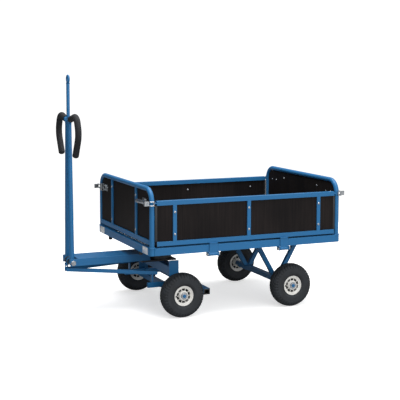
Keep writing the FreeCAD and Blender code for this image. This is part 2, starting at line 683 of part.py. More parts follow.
def drawbar_leg():
    """One leg of the A-shaped drawbar: a round tube coped over the foot and hooked over at the top."""
    skin = bent_tube("leg_tube", "YZ_Plane", number(pivot_x), leg_path, "legDia / 2", "legDia / 2 - tubeWall")
    cope = rod("leg_cope", "y", "footDia / 2 + 0.1", ("- armHalf", "0"), (pivot_x, "pivotZ"))
    return cut("drawbar_leg_near", skin, [cope])


def grip():
    """Foam sleeve with a closed tip over the free end of the hook."""
    sleeve = bent_tube("grip_sleeve", "YZ_Plane", number(pivot_x), grip_path, "gripDia / 2", "legDia / 2 + 0.2")
    tip = round_strut("grip_tip", (pivot_x, "- 141.2", "927.9"), (pivot_x, "- 139", "924"), "gripDia / 2")
    return fuse("grip_near", [sleeve, tip])


def tow_eye():
    """Rod and ring at the drawbar's tip, coped into the notch between the two hooks."""
    stem = rod("eye_stem", "z", "10", ("legTop - 16", "eyeTop - 45"), (pivot_x, "0"))
    ring = doc.addObject("Part::Torus", "eye_ring")
    ring.Radius1 = 19
    ring.Radius2 = 6.5
    ring.Placement = FreeCAD.Placement(Vector(), turned["x"])
    move(ring, pivot_x, "0", "eyeTop - 25.5")
    bore = rod("eye_bore", "x", "eyeBore / 2", (f"{pivot_x} - 7", f"{pivot_x} + 7"), ("0", "eyeTop - 25.5"))
    cope = bent_tube("eye_cope", "YZ_Plane", number(pivot_x), cope_path, "legDia / 2 + 0.15", None)
    return cut("tow_eye", fuse("tow_eye_solid", [stem, ring]), [bore, cope, across("eye_cope_far", cope)])


keep(drawbar_foot())
keep(tow_eye())
near_sides = {
    "drawbar_legs": drawbar_leg(),
    "grips": grip(),
}
for label, near_side in near_sides.items():
    keep(group(label, [near_side, across(f"{label}_far_side", near_side)]))


# ---- parking brake ---------------------------------------------------------------------------------------

brake_top = "wheelRadius + beamWide / 2"
bar_front = "bedX - frontAxle + wheelRadius + 1.5"


def brake_yoke():
    """Fork under the drawbar's crank pin and the two rods that spread from it."""
    fork = box("fork_plate", (f"{crank_x} - 9", f"{crank_x} + 9"), ("- 5", "5"), ("245", "pivotZ - 17"))
    slot = box("fork_slot", (f"{crank_x} - 5.2", f"{crank_x} + 5.2"), ("- 5", "5"), ("270", "pivotZ"))
    parts = [cut("fork", fork, [slot])]
    for side in "-+":
        start = (crank_x, f"{side} 10", "255")
        end = ("bedX - frontAxle - 82", f"{side} 205", "233")
        parts.append(strut(f"yoke_rod{side}", start, end, 20, 20))
        parts.append(box(f"yoke_drop{side}", ("bedX - frontAxle - 118", "bedX - frontAxle - 112"),
                         (f"{side} 198 - 12", f"{side} 198 + 12"), (f"{brake_top} + 31.5", "234")))
    return fuse("brake_yoke", parts)


def brake_side_bars():
    bars = [hollow_box(f"brake_side_bar{side}", ("bedX - frontAxle - 144", bar_front),
                       (f"{side} 200 - 10", f"{side} 200 + 10"),
                       (f"{brake_top} + 1.5", f"{brake_top} + 31.5"), "x", "2.5")
            for side in "-+"]
    return group("brake_side_bars", bars)


keep(brake_yoke())
keep(brake_side_bars())
keep(hollow_box("brake_bar", (bar_front, f"{bar_front} + brakeBarWide"), ("- 391", "391"),
                ("wheelRadius - 9", "wheelRadius + 27"), "y", "3"))
keep(group("brake_bar_caps", [
    box(f"brake_cap{low}", (f"{bar_front} + 1", f"{bar_front} + brakeBarWide"), (low, high),
        ("wheelRadius - 8.5", "wheelRadius + 26.5")) for low, high in (("- 394", "- 391"), ("391", "394"))]))


# ---- wheels ----------------------------------------------------------------------------------------------

def tyre_section():
    """Hollow tyre section as (radius, y) corners, from bead round the tread to the other bead."""
    outer = [("52.2", 20), ("52.2", 31), ("59.5", 31), ("63", 36), ("74", 41), ("92", 42.5),
             ("wheelRadius - 22", 41), ("wheelRadius - 12", 37.5), ("wheelRadius - 4.5", 29),
             ("wheelRadius - 1", 16), ("wheelRadius", 5)]
    inner = [("wheelRadius - 8", 5), ("wheelRadius - 9.5", 15), ("wheelRadius - 13", 24),
             ("wheelRadius - 20", 31), ("92", 36), ("76", 34.5), ("66", 29), ("60.5", 22)]
    half = [(radius, f"{y}") for radius, y in outer] + [(radius, f"- {y}") for radius, y in reversed(outer)]
    core = [(radius, f"- {y}") for radius, y in reversed(inner)] + [(radius, f"{y}") for radius, y in inner]
    return half + core


def rim_section():
    """Drop-centre rim with its disc and hub, as (radius, y) corners; the disc lies towards +y."""
    half_flange = "flangeDia / 2"
    hub = "hubHalf"
    return [(half_flange, "- 34.5"), (half_flange, "- 31.3"), ("52", "- 31.3"), ("52", "- 14"), ("44", "- 9"),
            ("44", "9"), ("52", "14"), ("52", "31.3"), (half_flange, "31.3"), (half_flange, "34.5"),
            ("54", "34.5"), ("49", "29"), ("45", "26.5"), ("38", "25.5"), ("29", "26"), ("25", "28"), ("25", hub),
            ("21", hub), ("21", f"- {hub}"), ("25", f"- {hub}"), ("25", "25"), ("38", "23"), ("49", "23"),
            ("49", "16"), ("41", "11"), ("41", "- 11"), ("49", "- 16"), ("49", "- 30"), ("54", "- 34.5")]


def rim():
    vents = 10
    slots = []
    for index in range(vents):
        turn = 2 * math.pi * index / vents
        slots.append(rod(f"vent{index}", "y", "4.6", ("20", "30"),
                         (f"{36 * math.cos(turn):.4f}", f"{36 * math.sin(turn):.4f}")))
    return cut("rim_master", revolved("rim_turned", rim_section()), slots)


def bearings():
    rings = [tube(f"bearing{side}", "y", "20.95", "stubDia / 2 + 0.05", limits, ("0", "0"))
             for side, limits in (("+", ("hubHalf - 13", "hubHalf - 1")),
                                  ("-", ("1 - hubHalf", "13 - hubHalf")))]
    return group("bearing_pair", rings)


tyre_master = revolved("tyre_master", tyre_section())
rim_master = rim()
bearing_master = bearings()
for end, place in (("front", king_x), ("rear", "bedX + rearAxle")):
    for side, across_y, facing in (("near", "- trackHalf", 180), ("far", "trackHalf", 0)):
        for label, master in (("tyre", tyre_master), ("rim", rim_master), ("hub_bearings", bearing_master)):
            wheel_part = group(f"{label}_{end}_{side}", [master])
            wheel_part.Placement = FreeCAD.Placement(Vector(), FreeCAD.Rotation(Vector(0, 0, 1), facing))
            keep(move(wheel_part, place, across_y, "wheelRadius"))


# ---- checks and export -----------------------------------------------------------------------------------

doc.recompute()
faults = [obj.Label for obj in doc.Objects if {"Invalid", "Error"} & set(obj.State)]
faults += [label for label, obj in nodes.items() if obj.Shape.isNull() or not obj.Shape.isValid()]
if faults:
    raise RuntimeError("failed: " + ", ".join(faults))
os.makedirs("parts", exist_ok=True)
for label, obj in nodes.items():
    obj.Shape.exportStep(f"parts/{label}.step")
whole = Part.makeCompound([obj.Shape for obj in nodes.values()]).BoundBox
print(f"{len(nodes)} nodes, X {whole.XMin:.1f} to {whole.XMax:.1f}, Y {whole.YMin:.1f} to {whole.YMax:.1f}, "
      f"Z {whole.ZMin:.1f} to {whole.ZMax:.1f}")
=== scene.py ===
import json
import math

import bmesh
import bpy
from mathutils import Matrix, Vector, noise


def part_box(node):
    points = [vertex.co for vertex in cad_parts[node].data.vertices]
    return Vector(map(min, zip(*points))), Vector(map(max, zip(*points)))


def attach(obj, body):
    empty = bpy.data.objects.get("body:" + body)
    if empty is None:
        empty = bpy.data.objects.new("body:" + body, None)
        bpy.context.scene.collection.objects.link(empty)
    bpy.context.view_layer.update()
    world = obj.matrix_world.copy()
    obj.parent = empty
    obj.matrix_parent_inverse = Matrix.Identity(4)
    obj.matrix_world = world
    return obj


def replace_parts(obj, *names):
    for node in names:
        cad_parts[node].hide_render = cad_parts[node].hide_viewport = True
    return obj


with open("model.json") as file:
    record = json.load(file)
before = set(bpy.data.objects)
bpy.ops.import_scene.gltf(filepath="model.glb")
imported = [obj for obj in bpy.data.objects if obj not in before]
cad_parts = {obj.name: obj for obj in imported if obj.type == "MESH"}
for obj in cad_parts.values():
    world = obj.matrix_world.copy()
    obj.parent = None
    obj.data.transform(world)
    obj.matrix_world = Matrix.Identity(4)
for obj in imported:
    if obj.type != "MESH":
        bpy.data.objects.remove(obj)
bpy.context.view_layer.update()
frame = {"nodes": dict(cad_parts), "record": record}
print("frame loaded:", len(frame["nodes"]), "nodes")

bedMiddle = (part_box("deck_board")[0].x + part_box("deck_board")[1].x) / 2
ends = {"front": -1, "rear": 1}
sides = {"near": -1, "far": 1}


# small tools shared by every material and piece

def linear(hexCode):
    shades = [int(hexCode[i:i + 2], 16) / 255 for i in (1, 3, 5)]
    return [s / 12.92 if s <= 0.04045 else ((s + 0.055) / 1.055) ** 2.4 for s in shades] + [1]


def addNode(material, kind, values=None, feeds=None, **settings):
    made = material.node_tree.nodes.new(kind)
    for name, setting in settings.items():
        setattr(made, name, setting)
    for name, value in (values or {}).items():
        made.inputs[name].default_value = value
    for name, socket in (feeds or {}).items():
        material.node_tree.links.new(socket, made.inputs[name])
    return made


def newMaterial(name, values):
    material = bpy.data.materials.new(name)
    material.use_nodes = True
    shader = material.node_tree.nodes["Principled BSDF"]
    for socket, value in values.items():
        shader.inputs[socket].default_value = value
    coords = addNode(material, "ShaderNodeTexCoord").outputs["Object"]
    return material, shader, coords


def connect(material, socket, target):
    material.node_tree.links.new(socket, target)


def perMetre(millimetres):
    return 1000 / millimetres


def edgeMask(material, rounded):
    # how far the rounded-over normal leans from the flat one: bright only along edges
    flat = addNode(material, "ShaderNodeNewGeometry")
    lean = addNode(material, "ShaderNodeVectorMath", feeds={0: rounded, 1: flat.outputs["Normal"]},
                   operation="DOT_PRODUCT")
    mask = addNode(material, "ShaderNodeMapRange", {"From Min": 0.995, "From Max": 0.80},
                   {"Value": lean.outputs["Value"]})
    return mask.outputs[0]


# materials, each named for what the real one is; a Mix node's colours are its inputs 6 and 7

# the paler edge colour and its share are a painted highlight along every edge
powderCoat = {"hex": "#24689c", "shadeHex": "#20608f", "edgeHighlightHex": "#5c9ac8", "roughness": 0.36,
              "peelMm": 3.0, "patchMm": 260, "edgeMm": 1.6, "edgeHighlightShare": 0.55}


def makePowderCoat(name, look):
    # polyester powder coat, sprayed and baked: satin, with a faint orange peel, and its edges painted paler
    # as a highlight
    rough = look["roughness"]
    material, shader, coords = newMaterial(name, {"Roughness": rough, "Specular IOR Level": 0.3})
    rounded = addNode(material, "ShaderNodeBevel", {"Radius": look["edgeMm"] / 1000}, samples=6).outputs[0]
    patches = addNode(material, "ShaderNodeTexNoise", {"Scale": perMetre(look["patchMm"]), "Detail": 3.0},
                      {"Vector": coords})
    base = addNode(material, "ShaderNodeMix", {6: linear(look["hex"]), 7: linear(look["shadeHex"])},
                   {0: patches.outputs[0]}, data_type="RGBA")
    # painted highlight: every edge is tinted toward a paler blue
    paintedHighlight = addNode(material, "ShaderNodeMath", {1: look["edgeHighlightShare"]}, {0: edgeMask(material, rounded)},
                   operation="MULTIPLY")
    edgeTinted = addNode(material, "ShaderNodeMix", {7: linear(look["edgeHighlightHex"])},
                   {0: paintedHighlight.outputs[0], 6: base.outputs[2]}, data_type="RGBA")
    connect(material, edgeTinted.outputs[2], shader.inputs["Base Color"])
    # real peel is about 1 mm across, drawn coarser so that it shows
    peel = addNode(material, "ShaderNodeTexNoise", {"Scale": perMetre(look["peelMm"]), "Detail": 2.0},
                   {"Vector": coords})
    bump = addNode(material, "ShaderNodeBump", {"Strength": 0.10, "Distance": 0.0004},
                   {"Height": peel.outputs[0], "Normal": rounded})
    connect(material, bump.outputs[0], shader.inputs["Normal"])
    gloss = addNode(material, "ShaderNodeMapRange", {"To Min": rough - 0.06, "To Max": rough + 0.10},
                    {"Value": patches.outputs[0]})
    connect(material, gloss.outputs[0], shader.inputs["Roughness"])
    return material


filmPly = {"hex": "#131112", "grainHex": "#25201f", "roughness": 0.48, "grainMm": 5.0, "runMm": 260,
           "sheetMm": 420, "edgeMm": 0.8}


def makeFilmPly(name, look):
    # birch plywood under a phenolic film: nearly black brown, with the veneer's grain pressed faintly through
    rough = look["roughness"]
    material, shader, coords = newMaterial(name, {"Roughness": rough, "Specular IOR Level": 0.08})
    rounded = addNode(material, "ShaderNodeBevel", {"Radius": look["edgeMm"] / 1000}, samples=6).outputs[0]
    across, along = perMetre(look["grainMm"]), perMetre(look["runMm"])
    stretched = addNode(material, "ShaderNodeMapping", {"Scale": (across, across, along)}, {"Vector": coords})
    grain = addNode(material, "ShaderNodeTexNoise",
                    {"Scale": 1.0, "Detail": 6.0, "Roughness": 0.6, "Distortion": 0.4},
                    {"Vector": stretched.outputs[0]})
    sheet = addNode(material, "ShaderNodeTexNoise", {"Scale": perMetre(look["sheetMm"]), "Detail": 2.0},
                    {"Vector": coords})
    veil = addNode(material, "ShaderNodeMath", feeds={0: grain.outputs[0], 1: sheet.outputs[0]},
                   operation="MULTIPLY")
    contrast = addNode(material, "ShaderNodeMapRange", {"From Min": 0.15, "From Max": 0.40},
                       {"Value": veil.outputs[0]})
    grained = addNode(material, "ShaderNodeMix", {6: linear(look["hex"]), 7: linear(look["grainHex"])},
                      {0: contrast.outputs[0]}, data_type="RGBA")
    connect(material, grained.outputs[2], shader.inputs["Base Color"])
    bump = addNode(material, "ShaderNodeBump", {"Strength": 0.18, "Distance": 0.0004},
                   {"Height": grain.outputs[0], "Normal": rounded})
    connect(material, bump.outputs[0], shader.inputs["Normal"])
    gloss = addNode(material, "ShaderNodeMapRange", {"To Min": rough - 0.08, "To Max": rough + 0.16},
                    {"Value": grain.outputs[0]})
    connect(material, gloss.outputs[0], shader.inputs["Roughness"])
    return material


zincPlate = {"hex": "#c8cbce", "cloudHex": "#9aa0a6", "roughness": 0.24, "cloudMm": 9, "scratchMm": 1.4,
             "edgeMm": 0.5}


def makeZincPlate(name, look):
    # bright zinc plate on pressed or turned steel: cool grey metal, softly clouded, finely scratched
    rough = look["roughness"]
    material, shader, coords = newMaterial(name, {"Metallic": 1.0, "Roughness": rough})
    rounded = addNode(material, "ShaderNodeBevel", {"Radius": look["edgeMm"] / 1000}, samples=6).outputs[0]
    clouds = addNode(material, "ShaderNodeTexVoronoi", {"Scale": perMetre(look["cloudMm"])},
                     {"Vector": coords}, feature="SMOOTH_F1")
    tone = addNode(material, "ShaderNodeMapRange", {"From Min": 0.1, "From Max": 0.7},
                   {"Value": clouds.outputs[0]})
    clouded = addNode(material, "ShaderNodeMix", {6: linear(look["hex"]), 7: linear(look["cloudHex"])},
                      {0: tone.outputs[0]}, data_type="RGBA")
    connect(material, clouded.outputs[2], shader.inputs["Base Color"])
    scratches = addNode(material, "ShaderNodeTexNoise", {"Scale": perMetre(look["scratchMm"]), "Detail": 4.0},
                        {"Vector": coords})
    gloss = addNode(material, "ShaderNodeMapRange", {"To Min": rough - 0.08, "To Max": rough + 0.14},
                    {"Value": scratches.outputs[0]})
    connect(material, gloss.outputs[0], shader.inputs["Roughness"])
    bump = addNode(material, "ShaderNodeBump", {"Strength": 0.12, "Distance": 0.0002},
                   {"Height": scratches.outputs[0], "Normal": rounded})
    connect(material, bump.outputs[0], shader.inputs["Normal"])
    return material


speckled = {
    # cathodic dip on forged steel: flat near-black with a low sheen
    "blackEcoat": {"hex": "#14161a", "fleckHex": "#24272c", "roughness": 0.42, "grainMm": 2.2,
                   "depth": 0.10, "edgeMm": 1.2},
    # pneumatic tyre compound: blue-grey black and dusty, with a painted highlight along its raised edges
    "tyreRubber": {"hex": "#14171b", "fleckHex": "#272c32", "roughness": 0.70, "grainMm": 2.0,
                   "depth": 0.25, "edgeMm": 0.8},
    # baked enamel on pressed rims: warm off-white, slightly glossy
    "rimEnamel": {"hex": "#e4e3df", "fleckHex": "#d6d5d0", "roughness": 0.34, "grainMm": 6.0,
                  "depth": 0.05, "edgeMm": 0.8},
    # closed-cell nitrile foam sleeve: charcoal, matt, with open skin pores
    "nitrileFoam": {"hex": "#0b0d12", "fleckHex": "#181b21", "roughness": 0.80, "grainMm": 1.8,
                    "depth": 0.55, "edgeMm": 1.5},
    # injection-moulded polypropylene: black with a fine spark-eroded grain
    "polypropylene": {"hex": "#15171a", "fleckHex": "#202327", "roughness": 0.48, "grainMm": 1.2,
                      "depth": 0.20, "edgeMm": 1.0},
    # phosphated spring wire: dark grey, oily
    "springSteel": {"hex": "#3b3d40", "fleckHex": "#55585c", "roughness": 0.38, "grainMm": 1.5,
                    "depth": 0.10, "edgeMm": 0.4, "metallic": 0.9},
}
driftPerGrain = 25  # slow changes of tone are this many grains wide
edgeTintShare = 0.5


def makeSpeckled(name, look):
    rough = look["roughness"]
    material, shader, coords = newMaterial(name, {"Roughness": rough, "Metallic": look.get("metallic", 0.0)})
    rounded = addNode(material, "ShaderNodeBevel", {"Radius": look["edgeMm"] / 1000}, samples=6).outputs[0]
    grain = addNode(material, "ShaderNodeTexNoise", {"Scale": perMetre(look["grainMm"]), "Detail": 5.0},
                    {"Vector": coords})
    drift = addNode(material, "ShaderNodeTexNoise",
                    {"Scale": perMetre(look["grainMm"] * driftPerGrain), "Detail": 2.0}, {"Vector": coords})
    tone = addNode(material, "ShaderNodeMath", feeds={0: grain.outputs[0], 1: drift.outputs[0]},
                   operation="MULTIPLY")
    spread = addNode(material, "ShaderNodeMapRange", {"From Min": 0.12, "From Max": 0.42},
                     {"Value": tone.outputs[0]})
    base = addNode(material, "ShaderNodeMix", {6: linear(look["hex"]), 7: linear(look["fleckHex"])},
                   {0: spread.outputs[0]}, data_type="RGBA")
    # edges are tinted toward the fleck colour: a painted highlight on the dark finishes, a darker edge on the
    # rim enamel
    edgeTint = addNode(material, "ShaderNodeMath", {1: edgeTintShare}, {0: edgeMask(material, rounded)},
                     operation="MULTIPLY")
    edgeTinted = addNode(material, "ShaderNodeMix", {7: linear(look["fleckHex"])},
                   {0: edgeTint.outputs[0], 6: base.outputs[2]}, data_type="RGBA")
    connect(material, edgeTinted.outputs[2], shader.inputs["Base Color"])
    bump = addNode(material, "ShaderNodeBump", {"Strength": look["depth"], "Distance": 0.0005},
                   {"Height": grain.outputs[0], "Normal": rounded})
    connect(material, bump.outputs[0], shader.inputs["Normal"])
    gloss = addNode(material, "ShaderNodeMapRange", {"To Min": rough - 0.05, "To Max": rough + 0.10},
                    {"Value": drift.outputs[0]})
    connect(material, gloss.outputs[0], shader.inputs["Roughness"])
    return material


reflectorLook = {"hex": "#e4e7e8", "cellHex": "#bfc5c9", "roughness": 0.16, "cellMm": 4.0}


def makeReflector(name, look):
    # moulded acrylic reflector: a clear glossy face over a field of fine prisms
    material, shader, coords = newMaterial(name, {"Roughness": look["roughness"], "Coat Weight": 0.6})
    cells = addNode(material, "ShaderNodeTexVoronoi", {"Scale": perMetre(look["cellMm"]), "Randomness": 0.15},
                    {"Vector": coords}, feature="DISTANCE_TO_EDGE")
    tone = addNode(material, "ShaderNodeMapRange", {"From Min": 0.0, "From Max": 0.25},
                   {"Value": cells.outputs[0]})
    celled = addNode(material, "ShaderNodeMix", {6: linear(look["cellHex"]), 7: linear(look["hex"])},
                     {0: tone.outputs[0]}, data_type="RGBA")
    connect(material, celled.outputs[2], shader.inputs["Base Color"])
    bump = addNode(material, "ShaderNodeBump", {"Strength": 0.3, "Distance": 0.0005},
                   {"Height": cells.outputs[0]})
    connect(material, bump.outputs[0], shader.inputs["Normal"])
    return material


materials = {name: makeSpeckled(name, look) for name, look in speckled.items()}
materials["powderCoatBlue"] = makePowderCoat("powderCoatBlue", powderCoat)
materials["filmFacedPly"] = makeFilmPly("filmFacedPly", filmPly)
materials["zincPlate"] = makeZincPlate("zincPlate", zincPlate)
materials["reflectorAcrylic"] = makeReflector("reflectorAcrylic", reflectorLook)
finishOfSlot = {"blue_paint": "powderCoatBlue", "coated_board": "filmFacedPly", "zinc": "zincPlate",
                "black_steel": "blackEcoat", "tyre": "tyreRubber", "rim_paint": "rimEnamel",
                "grip_foam": "nitrileFoam", "black_plastic": "polypropylene",
                "pale_plastic": "reflectorAcrylic"}
for entry in frame["record"]["subparts"]:
    mesh = frame["nodes"][entry["node"]].data
    mesh.materials.clear()
    mesh.materials.append(materials[finishOfSlot[entry["material_slot"]]])
frame["nodes"]["return_springs"].data.materials[0] = materials["springSteel"]
print("materials made:", len(materials))


# mesh tools

def meshPiece(name, build, slot, body, sharpDegrees=35):
    mesh = bpy.data.meshes.new(name)
    shape = bmesh.new()
    build(shape)
    bmesh.ops.recalc_face_normals(shape, faces=shape.faces)
    shape.to_mesh(mesh)
    shape.free()
    mesh.materials.append(materials[finishOfSlot[slot]])
    for face in mesh.polygons:
        face.use_smooth = True
    mesh.set_sharp_from_angle(angle=math.radians(sharpDegrees))
    return putPiece(name, mesh, body)


def putPiece(name, mesh, body, matrix=None):
    piece = bpy.data.objects.new(name, mesh)
    bpy.context.scene.collection.objects.link(piece)
    if matrix:
        piece.matrix_world = matrix
    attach(piece, body)
    return piece


def aimed(at, axis):
    # local Z along the axis
    return Matrix.Translation(at) @ Vector(axis).to_track_quat("Z", "Y").to_matrix().to_4x4()


def addRings(shape, rings, closed=False, capped=True):
    # skins a row of equal rings of points
    rows = [[shape.verts.new(point) for point in ring] for ring in rings]
    count = len(rows[0])
    pairs = list(zip(rows, rows[1:])) + ([(rows[-1], rows[0])] if closed else [])
    for row, following in pairs:
        for i in range(count):
            shape.faces.new((row[i], row[(i + 1) % count], following[(i + 1) % count], following[i]))
    if capped and not closed:
        shape.faces.new(rows[0])
        shape.faces.new(list(reversed(rows[-1])))
    return rows


def addLathe(shape, profile, steps, matrix, twist=0.0):
    # profile is (radius, height) from one end to the other, turned about local Z
    turns = [2 * math.pi * i / steps + twist for i in range(steps)]
    rings = [[matrix @ Vector((radius * math.cos(turn), radius * math.sin(turn), height)) for turn in turns]
             for radius, height in profile]
    addRings(shape, rings)


def addBlock(shape, corner, opposite, softness):
    # a box between two opposite corners, with its edges rounded off
    centre = (Vector(corner) + Vector(opposite)) / 2
    size = [abs(value) for value in Vector(opposite) - Vector(corner)]
    place = Matrix.Translation(centre) @ Matrix.Diagonal((*size, 1))
    made = bmesh.ops.create_cube(shape, size=1, matrix=place)
    edges = {edge for vert in made["verts"] for edge in vert.link_edges}
    bmesh.ops.bevel(shape, geom=list(edges), offset=softness, segments=3, profile=0.5, affect="EDGES")


def sweep(shape, path, radius, around=16, lumps=0.0, closed=False):
    # a tube along a path, of one radius or one for each point; lumps makes it uneven like a weld
    rings = []
    normal = None
    count = len(path)
    for i, point in enumerate(path):
        ahead = path[(i + 1) % count] if closed or i + 1 < count else point
        behind = path[i - 1] if closed or i else point
        along = (ahead - behind).normalized()
        if normal is None:
            normal = along.orthogonal().normalized()
        normal = (normal - along * normal.dot(along)).normalized()
        across = along.cross(normal)
        size = (radius[i] if isinstance(radius, list) else radius) * (1 + lumps * noise.noise(point * 320))
        rings.append([point + normal * (size * math.cos(a)) + across * (size * math.sin(a))
                      for a in (2 * math.pi * k / around for k in range(around))])
    addRings(shape, rings, closed=closed)


def roundedRun(corners, step=0.004):
    # straight runs joined by arcs, from (point, bend radius)
    path = [corners[0][0]]
    for (before, _), (corner, bend), (after, _) in zip(corners, corners[1:], corners[2:]):
        back = (before - corner).normalized()
        ahead = (after - corner).normalized()
        half = back.angle(ahead) / 2
        centre = corner + (back + ahead).normalized() * (bend / math.sin(half))
        start = corner + back * (bend / math.tan(half))
        end = corner + ahead * (bend / math.tan(half))
        turns = max(4, int(bend * (math.pi - 2 * half) / step))
        for i in range(turns + 1):
            middle = start.lerp(end, i / turns)
            path.append(centre + (middle - centre).normalized() * bend)
    path.append(corners[-1][0])
    filled = [path[0]]
    for first, second in zip(path, path[1:]):
        pieces = max(1, int((second - first).length / step))
        filled += [first.lerp(second, (i + 1) / pieces) for i in range(pieces)]
    return filled


def islands(node):
    # (low, high) corners of each separate solid in a node
    shape = bmesh.new()
    shape.from_mesh(frame["nodes"][node].data)
    bmesh.ops.remove_doubles(shape, verts=shape.verts, dist=1e-6)
    unseen = set(shape.verts)
    boxes = []
    while unseen:
        stack = [unseen.pop()]
        found = list(stack)
        while stack:
            for edge in stack.pop().link_edges:
                for vert in edge.verts:
                    if vert in unseen:
                        unseen.remove(vert)
                        stack.append(vert)
                        found.append(vert)
        low = Vector([min(v.co[i] for v in found) for i in range(3)])
        high = Vector([max(v.co[i] for v in found) for i in range(3)])
        boxes.append((low, high))
    shape.free()
    return sorted(boxes, key=lambda box: tuple(round(value, 4) for value in box[0]))


# tyres: one mesh, four places

tyre = {"blocks": 40, "perBlock": 10, "grooveMm": 5.0, "ribMm": 11, "zigzagMm": 2.2, "slantMm": 26,
        "lugDepthMm": 4.2, "lugReachMm": 31, "pitchMm": 16, "crownMm": 120, "shoulderMm": 104,
        "wallMm": 60, "fadeMm": 3, "sipeShare": 0.35, "beadRingsMm": (72, 78, 100), "ringMm": 0.9}
tyreOutline = [(52.3, 20.5), (52.4, 28), (53.5, 30.6), (58, 31.6), (62, 34.5), (68, 38.6), (76, 41.4),
               (88, 42.5), (100, 42), (109, 40.2), (117, 36.6), (122.5, 31.6), (126.5, 24.5),
               (129, 15), (130, 6)]


def smoothOutline(points, per=5):
    # a smooth curve through the points, with a few steps between each two
    line = []
    padded = [points[0]] + points + [points[-1]]
    for a, b, c, d in zip(padded, padded[1:], padded[2:], padded[3:]):
        for i in range(per):
            t = i / per
            line.append(tuple(0.5 * (2 * q + (r - p) * t + (2 * p - 5 * q + 4 * r - s) * t * t
                                     + (3 * q - p - 3 * r + s) * t ** 3) for p, q, r, s in zip(a, b, c, d)))
    return line + [points[-1]]


def cutShare(reach, half, ramp):
    # 1 inside a cut and 0 beyond its sloped sides
    return max(0.0, 1 - max(0.0, reach - half) / ramp)


def treadDrop(turn, radius, across, look):
    # millimetres cut below the skin at this place
    pitch = turn * look["blocks"]
    reach = abs(across)
    stagger = 0.5 if across > 0 else 0
    if radius > look["crownMm"]:
        zigzag = abs((pitch % 1) - 0.5) * 4 - 1
        groove = cutShare(abs(reach - look["ribMm"] - look["zigzagMm"] * zigzag), 1.2, 1.2)
        slant = (pitch + reach / look["slantMm"] + stagger) % 1
        cross = cutShare(abs(slant - 0.5) * look["pitchMm"], 1.6, 1.2) if reach > look["ribMm"] else 0.0
        onSipe = reach < look["ribMm"] - 4 and abs((pitch * 0.5) % 1 - 0.5) < 0.05
        sipe = look["sipeShare"] if onSipe else 0.0
        fade = min(1.0, (radius - look["crownMm"]) / look["fadeMm"])
        return look["grooveMm"] * max(groove, cross, sipe) * fade
    if radius > look["shoulderMm"]:
        slant = (pitch + look["lugReachMm"] / look["slantMm"] + stagger) % 1
        return look["lugDepthMm"] * cutShare(abs(slant - 0.5) * look["pitchMm"], 2.4, 2.0)
    rings = sum(math.exp(-((radius - place) / look["ringMm"]) ** 2) for place in look["beadRingsMm"])
    return look["ringMm"] - look["ringMm"] * min(1.0, rings)


def mirrored(outline):
    return [(r, -y) for r, y in outline]


def buildTyre(shape):
    half = smoothOutline(tyreOutline)
    outline = half + mirrored(reversed(half))
    steps = tyre["blocks"] * tyre["perBlock"]
    rings = []
    for k in range(steps):
        turn = k / steps
        angle = 2 * math.pi * turn
        ring = []
        for r, y in outline:
            drop = treadDrop(turn, r, y, tyre) if r > tyre["wallMm"] else 0.0
            outward = Vector((1, 0)) if r > tyre["crownMm"] else Vector((0, 1 if y > 0 else -1))
            place = Vector((r, y)) - outward * drop
            ring.append(Vector((place.x * math.cos(angle), place.y, place.x * math.sin(angle))) / 1000)
        rings.append(ring)
    addRings(shape, rings, closed=True)


def wheelPlace(end, side):
    low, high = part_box(f"rim_{end}_{side}")
    centre = (low + high) / 2
    turn = Matrix.Identity(4) if sides[side] > 0 else Matrix.Rotation(math.pi, 4, "Z")
    return Matrix.Translation(centre) @ turn


def fourWheels(label, build, slot, replaced, sharpDegrees=35):
    mesh = None
    for end in ends:
        for side in sides:
            body = f"wheel_{end}_{side}"
            if mesh is None:
                first = meshPiece(f"{label}_{end}_{side}", build, slot, body, sharpDegrees)
                mesh = first.data
                bpy.data.objects.remove(first)
            piece = putPiece(f"{label}_{end}_{side}", mesh, body, wheelPlace(end, side))
            if replaced:
                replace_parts(piece, f"{replaced}_{end}_{side}")


fourWheels("treadedTyre", buildTyre, "tyre", "tyre", 30)
print("tyres made")


# pressed rims with vents, hub sleeve and valve

rim = {"vents": 10, "ventShare": 0.70, "ventRows": (4, 5), "sheetMm": 1.8, "wellMm": 1.0, "perVent": 12,
       "valveAt": (0.0468, 0.0240, 0)}
barrelOutline = [(58.4, 33.2), (57.8, 34.2), (56.2, 34.4), (53.6, 33.2), (51.6, 30.5), (50.6, 26),
                 (50.4, 16.5), (48.2, 13.4), (43.9, 10.5), (43.5, 6), (43.5, -8), (44.2, -11),
                 (50.2, -16), (50.6, -28), (52.4, -31.8), (55.2, -34.2), (57.6, -34.2), (58.4, -33.2)]
discOutline = [(50.6, 29.4), (48.0, 28.2), (45.0, 27.2), (43.6, 26.4), (42.4, 25.6), (36.0, 24.6),
               (29.4, 25.0), (28.2, 25.8), (27.0, 27.4), (25.6, 31.0)]
# the two dished halves meet at a web, drawn in black as painted shade, so that no floor shows through the
# vents
wellOutline = [(50.2, 27.0), (47.0, 12.0), (42.8, 6.0), (27.0, 1.0), (25.4, 1.0)]
hubOutline = [(25.2, 36.2), (24.6, 36.9), (21.8, 36.9), (21.2, 36.2), (21.2, 20), (21.2, -36.2),
              (21.8, -36.9), (24.6, -36.9), (25.2, -36.2), (25.2, 0)]


def skinTurned(shape, outline, steps, closed, leaveOut=()):
    rows = [[shape.verts.new((r * math.cos(2 * math.pi * k / steps) / 1000, y / 1000,
                              r * math.sin(2 * math.pi * k / steps) / 1000)) for k in range(steps)]
            for r, y in outline]
    pairs = list(zip(rows, rows[1:])) + ([(rows[-1], rows[0])] if closed else [])
    made = []
    for index, (row, following) in enumerate(pairs):
        for k in range(steps):
            if (index, k % rim["perVent"]) in leaveOut:
                continue
            after = (k + 1) % steps
            made.append(shape.faces.new((row[k], row[after], following[after], following[k])))
    return made


